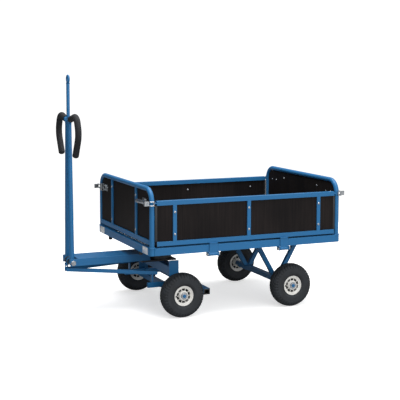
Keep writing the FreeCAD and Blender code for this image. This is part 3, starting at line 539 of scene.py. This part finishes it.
def buildRim(shape):
    steps = rim["vents"] * rim["perVent"]
    sheet = skinTurned(shape, barrelOutline, steps, False)
    edge = int(rim["perVent"] * (1 - rim["ventShare"]) / 2)
    vents = {(row, k) for row in rim["ventRows"] for k in range(edge, rim["perVent"] - edge)}
    for outline in (discOutline, mirrored(discOutline)):
        sheet += skinTurned(shape, outline, steps, False, vents)
    bmesh.ops.recalc_face_normals(shape, faces=shape.faces)
    bmesh.ops.solidify(shape, geom=sheet, thickness=rim["sheetMm"] / 1000)
    skinTurned(shape, hubOutline, steps, True)


def buildWell(shape):
    sheet = []
    for outline in (wellOutline, mirrored(wellOutline)):
        sheet += skinTurned(shape, outline, rim["vents"] * rim["perVent"], False)
    bmesh.ops.recalc_face_normals(shape, faces=shape.faces)
    bmesh.ops.solidify(shape, geom=sheet, thickness=rim["wellMm"] / 1000)


def buildValve(shape):
    addLathe(shape, [(0.0046, 0), (0.0042, 0.004), (0.0032, 0.006), (0.0032, 0.009), (0.0038, 0.0095),
                     (0.0040, 0.014), (0.0030, 0.0155), (0.0008, 0.016)], 14,
             aimed(rim["valveAt"], (0, 1, 0)))

fourWheels("pressedRim", buildRim, "rim_paint", "rim", 40)
# the black finish of the web inside each rim is painted shade behind the vents
fourWheels("rimWellPaintedShade", buildWell, "black_steel", None, 40)
fourWheels("valve", buildValve, "black_plastic", None)
print("rims and valves made")


# foam grips on the hooked handles

grip = {"radius": 0.0188, "step": 0.004, "around": 32, "unevenness": 0.015, "tipRound": 0.012,
        "mouthShare": 0.93, "mouthEase": 0.004}
gripCorners = [((-50, 1137.4), 0), ((-168, 1163), 55), ((-213, 1058), 100), ((-139, 924), 0)]
legsLow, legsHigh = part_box("drawbar_legs")
pivotX = (legsLow.x + legsHigh.x) / 2


def buildGrips(shape):
    for mirror in (1, -1):
        corners = [(Vector((pivotX, y * mirror / 1000, z / 1000)), bend / 1000)
                   for (y, z), bend in gripCorners]
        run = roundedRun(corners, grip["step"])
        # the free tip is domed, and the upper mouth is only eased
        length = grip["step"] * (len(run) - 1)
        sizes = []
        for i in range(len(run)):
            fromMouth, fromTip = grip["step"] * i, length - grip["step"] * i
            eased = min(1, fromMouth / grip["mouthEase"])
            size = grip["radius"] * (grip["mouthShare"] + (1 - grip["mouthShare"]) * eased)
            if fromTip < grip["tipRound"]:
                size *= math.sqrt(max(0.12, 1 - (1 - fromTip / grip["tipRound"]) ** 2))
            sizes.append(size)
        sweep(shape, run, sizes, around=grip["around"], lumps=grip["unevenness"])


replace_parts(meshPiece("foamGrips", buildGrips, "grip_foam", "drawbar", 60), "grips")
print("grips made")


# fasteners

def addDome(shape, centre, axis, radius, height):
    addLathe(shape, [(radius, 0), (radius, height * 0.16), (radius * 0.96, height * 0.34),
                     (radius * 0.80, height * 0.66), (radius * 0.52, height * 0.88),
                     (radius * 0.2, height * 0.985), (0.0001, height)], 28, aimed(centre, axis))


def addHex(shape, centre, axis, across, height):
    # a six-sided head or nut with its corners chamfered
    base = aimed(centre, axis)
    corner = across / math.sqrt(3)
    addLathe(shape, [(corner * 0.93, 0), (corner, height * 0.10), (corner, height * 0.84),
                     (corner * 0.90, height), (corner * 0.3, height)], 6, base, math.pi / 6)


def addWasher(shape, centre, axis, radius, thick):
    addLathe(shape, [(radius * 0.97, 0), (radius, thick * 0.2), (radius, thick * 0.8), (radius * 0.97, thick),
                     (radius * 0.3, thick)], 28, aimed(centre, axis))


def domesFor(node, body, axisIndex, label):
    boxes = islands(node)

    def build(shape):
        for low, high in boxes:
            centre = (low + high) / 2
            nearest = min(facesAlong(body, axisIndex), key=lambda plane: abs(plane - centre[axisIndex]))
            outward = 1 if centre[axisIndex] > nearest else -1
            axis = [0, 0, 0]
            axis[axisIndex] = outward
            seat = centre.copy()
            seat[axisIndex] = low[axisIndex] if outward > 0 else high[axisIndex]
            height = high[axisIndex] - low[axisIndex]
            addDome(shape, seat, axis, (high[2] - low[2]) / 2, height)
    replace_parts(meshPiece(label, build, "zinc", body), node)


def facesAlong(body, axisIndex):
    # middle planes of the walls that a body's bolts clamp
    if body == "bed":
        return [sum(corner[axisIndex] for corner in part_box(f"end_frame_{end}")) / 2 for end in ends]
    return [sum(corner[axisIndex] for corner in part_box(body.replace("wall", "side_frame"))) / 2]


domesFor("end_wall_bolts", "bed", 0, "endBoltDomes")
for side in sides:
    domesFor(f"side_bolts_{side}", f"wall_{side}", 1, f"sideBoltDomes_{side}")


hingePin = {"shank": 0.006, "endInset": 0.001, "hexInset": 0.0062, "washerInset": 0.0078,
            "washerThick": 0.0015, "head": 0.0058, "nut": 0.0055, "acrossPerRadius": 1.7}


def buildHingePins(shape):
    for low, high in islands("hinge_pins"):
        centre = (low + high) / 2
        radius = (high.z - low.z) / 2
        inset = hingePin["endInset"]
        addLathe(shape, [(hingePin["shank"], 0), (hingePin["shank"], high.x - low.x - 2 * inset)], 20,
                 aimed((low.x + inset, centre.y, centre.z), (1, 0, 0)))
        for end, outward, tall in ((low.x, -1, hingePin["head"]), (high.x, 1, hingePin["nut"])):
            hexAt = (end - outward * hingePin["hexInset"], centre.y, centre.z)
            addHex(shape, hexAt, (outward, 0, 0), radius * hingePin["acrossPerRadius"], tall)
            washerAt = (end - outward * hingePin["washerInset"], centre.y, centre.z)
            addWasher(shape, washerAt, (outward, 0, 0), radius, hingePin["washerThick"])


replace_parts(meshPiece("hexHingePins", buildHingePins, "zinc", "bed"), "hinge_pins")

pivotBolt = {"shank": 0.008, "tip": 0.0072, "tipChamfer": 0.001, "headInset": 0.009, "washer": 0.015,
             "washerThick": 0.0032, "across": 0.024, "head": 0.0100, "nut": 0.0110}


def buildPivotBolt(shape):
    low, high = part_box("pivot_bolt")
    centre = (low + high) / 2
    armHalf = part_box("steering_arm")[1].y
    shank, length = pivotBolt["shank"], high.y - low.y - pivotBolt["headInset"]
    addLathe(shape, [(shank, 0), (shank, length - pivotBolt["tipChamfer"]), (pivotBolt["tip"], length)], 28,
             aimed((centre.x, low.y + pivotBolt["headInset"], centre.z), (0, 1, 0)))
    for outward, tall in ((-1, pivotBolt["head"]), (1, pivotBolt["nut"])):
        addWasher(shape, (centre.x, outward * armHalf, centre.z), (0, outward, 0), pivotBolt["washer"],
                  pivotBolt["washerThick"])
        seat = outward * (armHalf + pivotBolt["washerThick"])
        addHex(shape, (centre.x, seat, centre.z), (0, outward, 0), pivotBolt["across"], tall)


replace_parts(meshPiece("hexPivotBolt", buildPivotBolt, "zinc", "steering"), "pivot_bolt")

axleEnd = {"washer": 0.0170, "washerThick": 0.0020, "stub": 0.0098, "chamfer": 0.0014}


def buildAxleEnds(node, part):
    def build(shape):
        for low, high in islands(node):
            centre = (low + high) / 2
            outward = 1 if centre.y > 0 else -1
            height = high.y - low.y
            base = aimed((centre.x, low.y if outward > 0 else high.y, centre.z), (0, outward, 0))
            if part == "washer":
                thick, radius = axleEnd["washerThick"], axleEnd["washer"]
                addLathe(shape, [(radius * 0.98, 0), (radius, thick * 0.2), (radius, thick * 0.8),
                                 (radius * 0.98, thick), (radius * 0.3, thick)], 36, base)
            else:
                # the stub has a small centre hole, as left by the lathe
                radius, soft = axleEnd["stub"], axleEnd["chamfer"]
                addLathe(shape, [(radius, 0), (radius, height - soft), (radius - soft, height),
                                 (0.0026, height), (0.0018, height - 0.0016), (0.0001, height - 0.0022)],
                         32, base)
    return build


for node, body in (("front_axle_caps", "steering"), ("rear_axle_caps", "bed")):
    where = node.split("_")[0]
    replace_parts(meshPiece(f"axleWashers_{where}", buildAxleEnds(node, "washer"), "zinc", body), node)
    meshPiece(f"axleStubs_{where}", buildAxleEnds(node, "stub"), "blue_paint", body)
print("fasteners and caps made")


# close-wound return springs, as a true helix

spring = {"wireMm": 3.1, "turns": 5, "around": 30}


def buildSprings(shape):
    for low, high in islands("return_springs"):
        centre = (low + high) / 2
        wire = spring["wireMm"] / 2000
        radius = (high.z - low.z) / 2 - wire
        start, end = low.y + wire, high.y - wire
        steps = int(spring["turns"] * spring["around"])
        path = []
        for i in range(steps + 1):
            angle = 2 * math.pi * (spring["turns"] - 0.25) * i / steps
            path.append(Vector((centre.x + radius * math.cos(angle), start + (end - start) * i / steps,
                                centre.z + radius * math.sin(angle))))
        sweep(shape, path, wire, around=10)


springs = meshPiece("helixSprings", buildSprings, "black_steel", "steering", 60)
springs.data.materials[0] = materials["springSteel"]
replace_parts(springs, "return_springs")
print("springs made")


# latch brackets, pressed from sheet, with a channel and two bolts each

latch = {"sheet": 0.0025, "soft": 0.0009, "pinInset": 0.007, "pin": 0.004, "eye": 0.007, "lug": 0.003,
         "lugRoot": 0.030, "boltPlaces": (0.012, 0.021), "washer": 0.0075, "washerThick": 0.0012,
         "boltAcross": 0.010, "boltHead": 0.0045, "nutRadius": 0.0062, "nutHeight": 0.0032,
         "plateMargin": 0.002, "plateBeyond": 0.012, "bite": 0.001, "lugSoft": 0.0006,
         "channelMargin": 0.006, "channelDepth": 0.010, "channelEnd": 0.026, "channelSoft": 0.003}


def latchPlaces():
    # each bracket's corners, outward and inward ways, wall face, hinge line, far end and bolt places
    for low, high in islands("latch_bases"):
        outward = 1 if (low.x + high.x) / 2 > bedMiddle else -1
        inward = -1 if (low.y + high.y) / 2 > 0 else 1
        face = low.x if outward > 0 else high.x
        edge, far = (high.y, low.y) if inward < 0 else (low.y, high.y)
        hinge = edge + inward * latch["pinInset"]
        bolts = (far - inward * latch["boltPlaces"][0], hinge + inward * latch["boltPlaces"][1])
        yield low, high, outward, inward, face, hinge, far, bolts


def buildLatchBases(shape):
    sheet, lug, eye = latch["sheet"], latch["lug"], latch["eye"]
    for low, high, outward, inward, face, hinge, far, bolts in latchPlaces():
        pin = (high.x if outward > 0 else low.x) - outward * latch["pinInset"]
        root = hinge + inward * latch["lugRoot"]
        skin = face + outward * latch["bite"]
        # back plate, two lugs with rolled eyes, channel, pin, bolts
        margin = latch["plateMargin"]
        plateEnd = hinge + inward * latch["plateBeyond"]
        addBlock(shape, (face, far, low.z + margin), (face + outward * sheet, plateEnd, high.z - margin),
                 latch["soft"])
        for z in (low.z, high.z - lug):
            addBlock(shape, (skin, root, z), (pin, hinge - inward * margin, z + lug), latch["lugSoft"])
            addLathe(shape, [(eye - 0.0002, 0), (eye, 0.0004), (eye, lug - 0.0004), (eye - 0.0002, lug)], 24,
                     aimed((pin, hinge, z), (0, 0, 1)))
        channelEnd = far - inward * latch["channelEnd"]
        addBlock(shape, (skin, root, low.z + latch["channelMargin"]),
                 (face + outward * latch["channelDepth"], channelEnd, high.z - latch["channelMargin"]),
                 latch["channelSoft"])
        addLathe(shape, [(latch["pin"], 0), (latch["pin"], high.z - low.z)], 18,
                 aimed((pin, hinge, low.z), (0, 0, 1)))
        for place in bolts:
            middle = (low.z + high.z) / 2
            addWasher(shape, (face + outward * sheet, place, middle), (outward, 0, 0), latch["washer"],
                      latch["washerThick"])
            addHex(shape, (face + outward * (sheet + latch["washerThick"]), place, middle), (outward, 0, 0),
                   latch["boltAcross"], latch["boltHead"])


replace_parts(meshPiece("latchBrackets", buildLatchBases, "zinc", "bed"), "latch_bases")

# the lever's line is (distance from the wall, distance along it), ending at the finger end's tip
lever = {"thick": 0.0030, "wide": 0.022, "fingerShare": 0.8, "fingerFrom": 0.1, "rootInset": 0.014,
         "soft": 0.0007, "tip": (0.0395, 0.112),
         "line": [(0.013, 0.004), (0.015, 0.030), (0.024, 0.052), (0.028, 0.086), (0.036, 0.104)]}


def buildLatchLevers(shape):
    # a closed lever lies along the wall, cranked clear of it, with a turned-out finger end
    for low, high, outward, inward, face, hinge, _, _ in latchPlaces():
        root = hinge + inward * (lever["rootInset"] - latch["pinInset"])
        middle = (low.z + high.z) / 2
        rings = []
        for (depth, along), (nextDepth, nextAlong) in zip(lever["line"], lever["line"][1:] + [lever["tip"]]):
            slope = Vector((nextDepth - depth, nextAlong - along)).normalized()
            across = Vector((slope.y, -slope.x)) * lever["thick"] / 2
            half = lever["wide"] / 2 * (lever["fingerShare"] if along > lever["fingerFrom"] else 1)
            ring = []
            for side, level in ((-1, -1), (-1, 1), (1, 1), (1, -1)):
                ring.append(Vector((face + outward * (depth + side * across.x),
                                    root + inward * (along + side * across.y), middle + level * half)))
            rings.append(ring)
        addRings(shape, rings)
    bmesh.ops.bevel(shape, geom=list(shape.edges), offset=lever["soft"], segments=2, profile=0.5,
                    affect="EDGES")


meshPiece("latchLevers", buildLatchLevers, "zinc", "bed", 30)


def buildLatchNuts(shape):
    # domed nuts on the inner face of each end wall
    panels = islands("end_panels")
    for low, high, outward, _, _, _, _, bolts in latchPlaces():
        inner = panels[1][0].x if outward > 0 else panels[0][1].x
        for place in bolts:
            addDome(shape, (inner, place, (low.z + high.z) / 2), (-outward, 0, 0), latch["nutRadius"],
                    latch["nutHeight"])


meshPiece("latchNuts", buildLatchNuts, "zinc", "bed")
print("latch brackets made")


# weld beads where tubes meet

weld = {"radius": 0.0022, "lumps": 0.55, "step": 0.0035, "strutWide": 0.029, "lift": 0.0012,
        "socketInset": 0.018, "socketRadius": 0.0182, "socketDrop": 0.0052, "boltPlate": 0.008,
        "strapInsetX": 0.001, "strapInsetY": 0.002, "strapDrop": 0.0006}
drawbarWeld = {"eyeRise": 0.019, "eyeRadius": 0.0106, "neckDrop": 0.0500, "neckRadius": 0.0102,
               "footOut": 0.0494, "footRise": 0.0158, "footRadius": 0.0142, "lean": 0.042}


def loopPath(points):
    path = []
    for first, second in zip(points, points[1:] + points[:1]):
        pieces = max(2, int((second - first).length / weld["step"]))
        path += [first.lerp(second, i / pieces) for i in range(pieces)]
    return path


def rectLoop(x0, x1, y0, y1, level):
    return [Vector((x, y, level)) for x, y in ((x0, y0), (x1, y0), (x1, y1), (x0, y1))]


def ringLoop(centre, radius, axis=(0, 0, 1)):
    base = aimed(centre, axis)
    count = int(2 * math.pi * radius / weld["step"])
    turns = [2 * math.pi * i / count for i in range(count)]
    return [base @ Vector((radius * math.cos(turn), radius * math.sin(turn), 0)) for turn in turns]


def weldPiece(name, loops, body):
    def build(shape):
        for loop in loops:
            sweep(shape, loop, weld["radius"], around=8, lumps=weld["lumps"], closed=True)
    return meshPiece(name, build, "blue_paint", body, 70)


axleMiddle = sum(corner.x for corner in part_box("rear_axle")) / 2
bedLoops = []
for low, high in islands("rear_struts"):
    towardRear = (low.x, low.x + weld["strutWide"])
    towardFront = (high.x - weld["strutWide"], high.x)
    leansRear = (low.x + high.x) / 2 > axleMiddle
    foot, head = (towardRear, towardFront) if leansRear else (towardFront, towardRear)
    for (x0, x1), z in ((foot, low.z + weld["lift"]), (head, high.z - weld["lift"])):
        bedLoops.append(loopPath(rectLoop(x0, x1, low.y, high.y, z)))
for end, toward in ends.items():
    low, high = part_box(f"end_rail_{end}")
    x = low.x + weld["socketInset"] if toward < 0 else high.x - weld["socketInset"]
    for y in (low.y + weld["socketInset"], high.y - weld["socketInset"]):
        bedLoops.append(ringLoop((x, y, high.z - weld["socketDrop"]), weld["socketRadius"]))
weldPiece("bedWelds", bedLoops, "bed")

for side in sides:
    strapLoops = []
    for low, high in islands(f"hinge_straps_{side}"):
        insetX, insetY = weld["strapInsetX"], weld["strapInsetY"]
        strapLoops.append(loopPath(rectLoop(low.x + insetX, high.x - insetX, low.y + insetY, high.y - insetY,
                                            high.z - weld["strapDrop"])))
    weldPiece(f"strapWelds_{side}", strapLoops, f"wall_{side}")

low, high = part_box("tow_eye")
eyeX = (low.x + high.x) / 2
drawbarLoops = [ringLoop((eyeX, 0, low.z + drawbarWeld["eyeRise"]), drawbarWeld["eyeRadius"]),
                ringLoop((eyeX, 0, high.z - drawbarWeld["neckDrop"]), drawbarWeld["neckRadius"])]
footZ = sum(corner.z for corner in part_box("pivot_bolt")) / 2 + drawbarWeld["footRise"]
for sign in (-1, 1):
    drawbarLoops.append(ringLoop((eyeX, sign * drawbarWeld["footOut"], footZ), drawbarWeld["footRadius"],
                                 (0, -sign * drawbarWeld["lean"], 1)))
weldPiece("drawbarWelds", drawbarLoops, "drawbar")

low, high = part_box("bolster")
axleLow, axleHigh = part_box("front_axle")
steeringLoops = [loopPath(rectLoop(axleLow.x, axleHigh.x, y0, y1, axleHigh.z + weld["lift"]))
                 for y0, y1 in ((low.y, low.y + weld["boltPlate"]), (high.y - weld["boltPlate"], high.y))]
weldPiece("steeringWelds", steeringLoops, "steering")
print("welds made")


# black plugs in the open ends of the wall rails and brake bars, and black channels on the board edges

plug = {"lip": 0.0022, "soft": 0.0009, "railHigh": 0.025, "inset": 0.0006}


def buildRailPlugs(side):
    def build(shape):
        low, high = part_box(f"side_panel_{side}")
        frameLow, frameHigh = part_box(f"side_frame_{side}")
        inset = plug["inset"]
        for x, outward in ((low.x, -1), (high.x, 1)):
            addBlock(shape, (x, frameLow.y + inset, frameLow.z + inset),
                     (x + outward * plug["lip"], frameHigh.y - inset, frameLow.z + plug["railHigh"] - inset),
                     plug["soft"])
    return build


edgeTrim = {"reach": 0.0094, "overlap": 0.004, "proud": 0.0011, "inset": 0.0006, "soft": 0.0008}


def buildEdgeTrims(side):
    # a channel pushed over each upright edge of the board closes the gap to the post
    def build(shape):
        low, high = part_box(f"side_panel_{side}")
        proud, inset = edgeTrim["proud"], edgeTrim["inset"]
        for x, outward in ((low.x, -1), (high.x, 1)):
            addBlock(shape, (x - outward * edgeTrim["overlap"], low.y - proud, low.z + inset),
                     (x + outward * edgeTrim["reach"], high.y + proud, high.z - inset), edgeTrim["soft"])
    return build


for side in sides:
    meshPiece(f"railPlugs_{side}", buildRailPlugs(side), "black_plastic", f"wall_{side}")
for side in sides:
    meshPiece(f"edgeTrims_{side}", buildEdgeTrims(side), "black_plastic", f"wall_{side}")

brakePlug = {"soft": 0.0011, "rim": 0.007, "step": 0.0004, "stepSoft": 0.0001}


def buildBrakePlugs(shape):
    for low, high in islands("brake_bar_caps"):
        addBlock(shape, low, high, brakePlug["soft"])
        face, outward = (high.y, 1) if low.y > 0 else (low.y, -1)
        border = brakePlug["rim"]
        addBlock(shape, (low.x + border, face - outward * brakePlug["step"], low.z + border),
                 (high.x - border, face, high.z - border), brakePlug["stepSoft"])


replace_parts(meshPiece("brakeBarPlugs", buildBrakePlugs, "black_plastic", "brake"), "brake_bar_caps")


def buildBuffers(shape):
    for low, high in islands("steering_buffers"):
        centre = (low + high) / 2
        radius, height = (high.x - low.x) / 2, high.z - low.z
        addLathe(shape, [(radius * 0.9, 0), (radius, height * 0.12), (radius * 0.9, height * 0.5),
                         (radius, height * 0.85), (radius * 0.82, height * 0.96), (radius * 0.2, height)], 28,
                 aimed((centre.x, centre.y, high.z), (0, 0, -1)))


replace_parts(meshPiece("rubberBuffers", buildBuffers, "black_plastic", "bed"), "steering_buffers")


def buildReflectors(shape):
    for low, high in islands("reflector_plates"):
        addBlock(shape, low, high, 0.0006)


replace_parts(meshPiece("reflectors", buildReflectors, "pale_plastic", "bed"), "reflector_plates")
print("plugs, buffers and reflectors made")


# studio

studio = {"floorHex": "#f0f0f0", "bounceHex": "#a8a8a8", "floorGlow": 0.56, "floorRadius": 3.4,
          "floorSides": 96, "backdropStrength": 1.1, "skyHex": "#ffffff", "skyDark": 0.06, "skyBright": 0.95,
          "brightest": (0.30, -0.55, 0.78), "overheadPower": 150, "frontPower": 100, "fibreMm": 4}


def areaLight(name, at, toward, size, power):
    light = bpy.data.lights.new(name, "AREA")
    light.shape = "RECTANGLE"
    light.size, light.size_y = size
    light.energy = power
    holder = bpy.data.objects.new(name, light)
    bpy.context.scene.collection.objects.link(holder)
    holder.location = at
    holder.rotation_mode = "QUATERNION"
    holder.rotation_quaternion = (Vector(toward) - Vector(at)).to_track_quat("-Z", "Y")


areaLight("overhead", (0.2, -0.3, 3.6), (0.1, 0, 0.3), (3.5, 3.0), studio["overheadPower"])
areaLight("front", (0.2, -5.4, 2.2), (0, 0, 0.6), (3.4, 1.6), studio["frontPower"])

# matt photographic paper: dead flat, with only a trace of fibre
paperMaterial, paperShader, paperCoords = newMaterial("paperSweep", {
    "Roughness": 0.9, "Base Color": linear(studio["floorHex"]), "Specular IOR Level": 0.0})
fibres = addNode(paperMaterial, "ShaderNodeTexNoise", {"Scale": perMetre(studio["fibreMm"]), "Detail": 2.0},
                 {"Vector": paperCoords})
softBump = addNode(paperMaterial, "ShaderNodeBump", {"Strength": 0.02, "Distance": 0.0002},
                   {"Height": fibres.outputs[0]})
connect(paperMaterial, softBump.outputs[0], paperShader.inputs["Normal"])
# the paper is lit from under as well, which keeps the shadows on it pale, but that light stays off the cart
underlight = addNode(paperMaterial, "ShaderNodeEmission", {"Strength": studio["floorGlow"]})
litPaper = addNode(paperMaterial, "ShaderNodeAddShader",
                   feeds={0: paperShader.outputs[0], 1: underlight.outputs[0]})
paperRays = addNode(paperMaterial, "ShaderNodeLightPath")
bounce = addNode(paperMaterial, "ShaderNodeBsdfDiffuse", {"Color": linear(studio["bounceHex"])})
shown = addNode(paperMaterial, "ShaderNodeMixShader",
                feeds={0: paperRays.outputs["Is Camera Ray"], 1: bounce.outputs[0], 2: litPaper.outputs[0]})
connect(paperMaterial, shown.outputs[0], paperMaterial.node_tree.nodes["Material Output"].inputs["Surface"])

floorMesh = bpy.data.meshes.new("floor")
floorTurns = [2 * math.pi * k / studio["floorSides"] for k in range(studio["floorSides"])]
floorEdge = [(studio["floorRadius"] * math.cos(turn), studio["floorRadius"] * math.sin(turn), 0)
             for turn in floorTurns]
floorMesh.from_pydata(floorEdge, [], [tuple(range(studio["floorSides"]))])
floorMesh.materials.append(paperMaterial)
floor = bpy.data.objects.new("floor", floorMesh)
floor.location.z = -0.0004  # just clear of the tyres
bpy.context.scene.collection.objects.link(floor)

world = bpy.data.worlds.new("studioWorld")
world.use_nodes = True
sky = world.node_tree.nodes["Background"]
sky.inputs["Color"].default_value = linear(studio["skyHex"])
# a soft sky, brightest above and in front, and dim behind and to the left
skyWay = addNode(world, "ShaderNodeTexCoord")
facing = addNode(world, "ShaderNodeVectorMath", {1: Vector(studio["brightest"]).normalized()},
                 {0: skyWay.outputs["Generated"]}, operation="DOT_PRODUCT")
strength = addNode(world, "ShaderNodeMapRange",
                   {"From Min": -0.6, "From Max": 1.0,
                    "To Min": studio["skyDark"], "To Max": studio["skyBright"]},
                   {"Value": facing.outputs["Value"]})
connect(world, strength.outputs[0], sky.inputs["Strength"])
# the camera sees plain white instead
backdrop = addNode(world, "ShaderNodeBackground",
                   {"Color": linear(studio["skyHex"]), "Strength": studio["backdropStrength"]})
skyRays = addNode(world, "ShaderNodeLightPath")
seen = addNode(world, "ShaderNodeMixShader",
               feeds={0: skyRays.outputs["Is Camera Ray"], 1: sky.outputs[0], 2: backdrop.outputs[0]})
connect(world, seen.outputs[0], world.node_tree.nodes["World Output"].inputs["Surface"])
bpy.context.scene.world = world
bpy.context.scene.view_settings.view_transform = "Standard"

view = {"at": (-2.3667, -5.5335, 1.4336), "yaw": 23.640, "pitch": 5.337, "roll": 0.133, "lens": 88.506,
        "shift": -0.10}
cameraData = bpy.data.cameras.new("camera")
cameraData.lens = view["lens"]
cameraData.sensor_width = 36
cameraData.shift_y = view["shift"]
cameraData.clip_end = 200
camera = bpy.data.objects.new("camera", cameraData)
bpy.context.scene.collection.objects.link(camera)
aim = (Matrix.Rotation(math.radians(-view["yaw"]), 4, "Z")
       @ Matrix.Rotation(math.radians(90 - view["pitch"]), 4, "X")
       @ Matrix.Rotation(math.radians(view["roll"]), 4, "Z"))
camera.matrix_world = Matrix.Translation(view["at"]) @ aim
bpy.context.scene.camera = camera
print("studio ready")
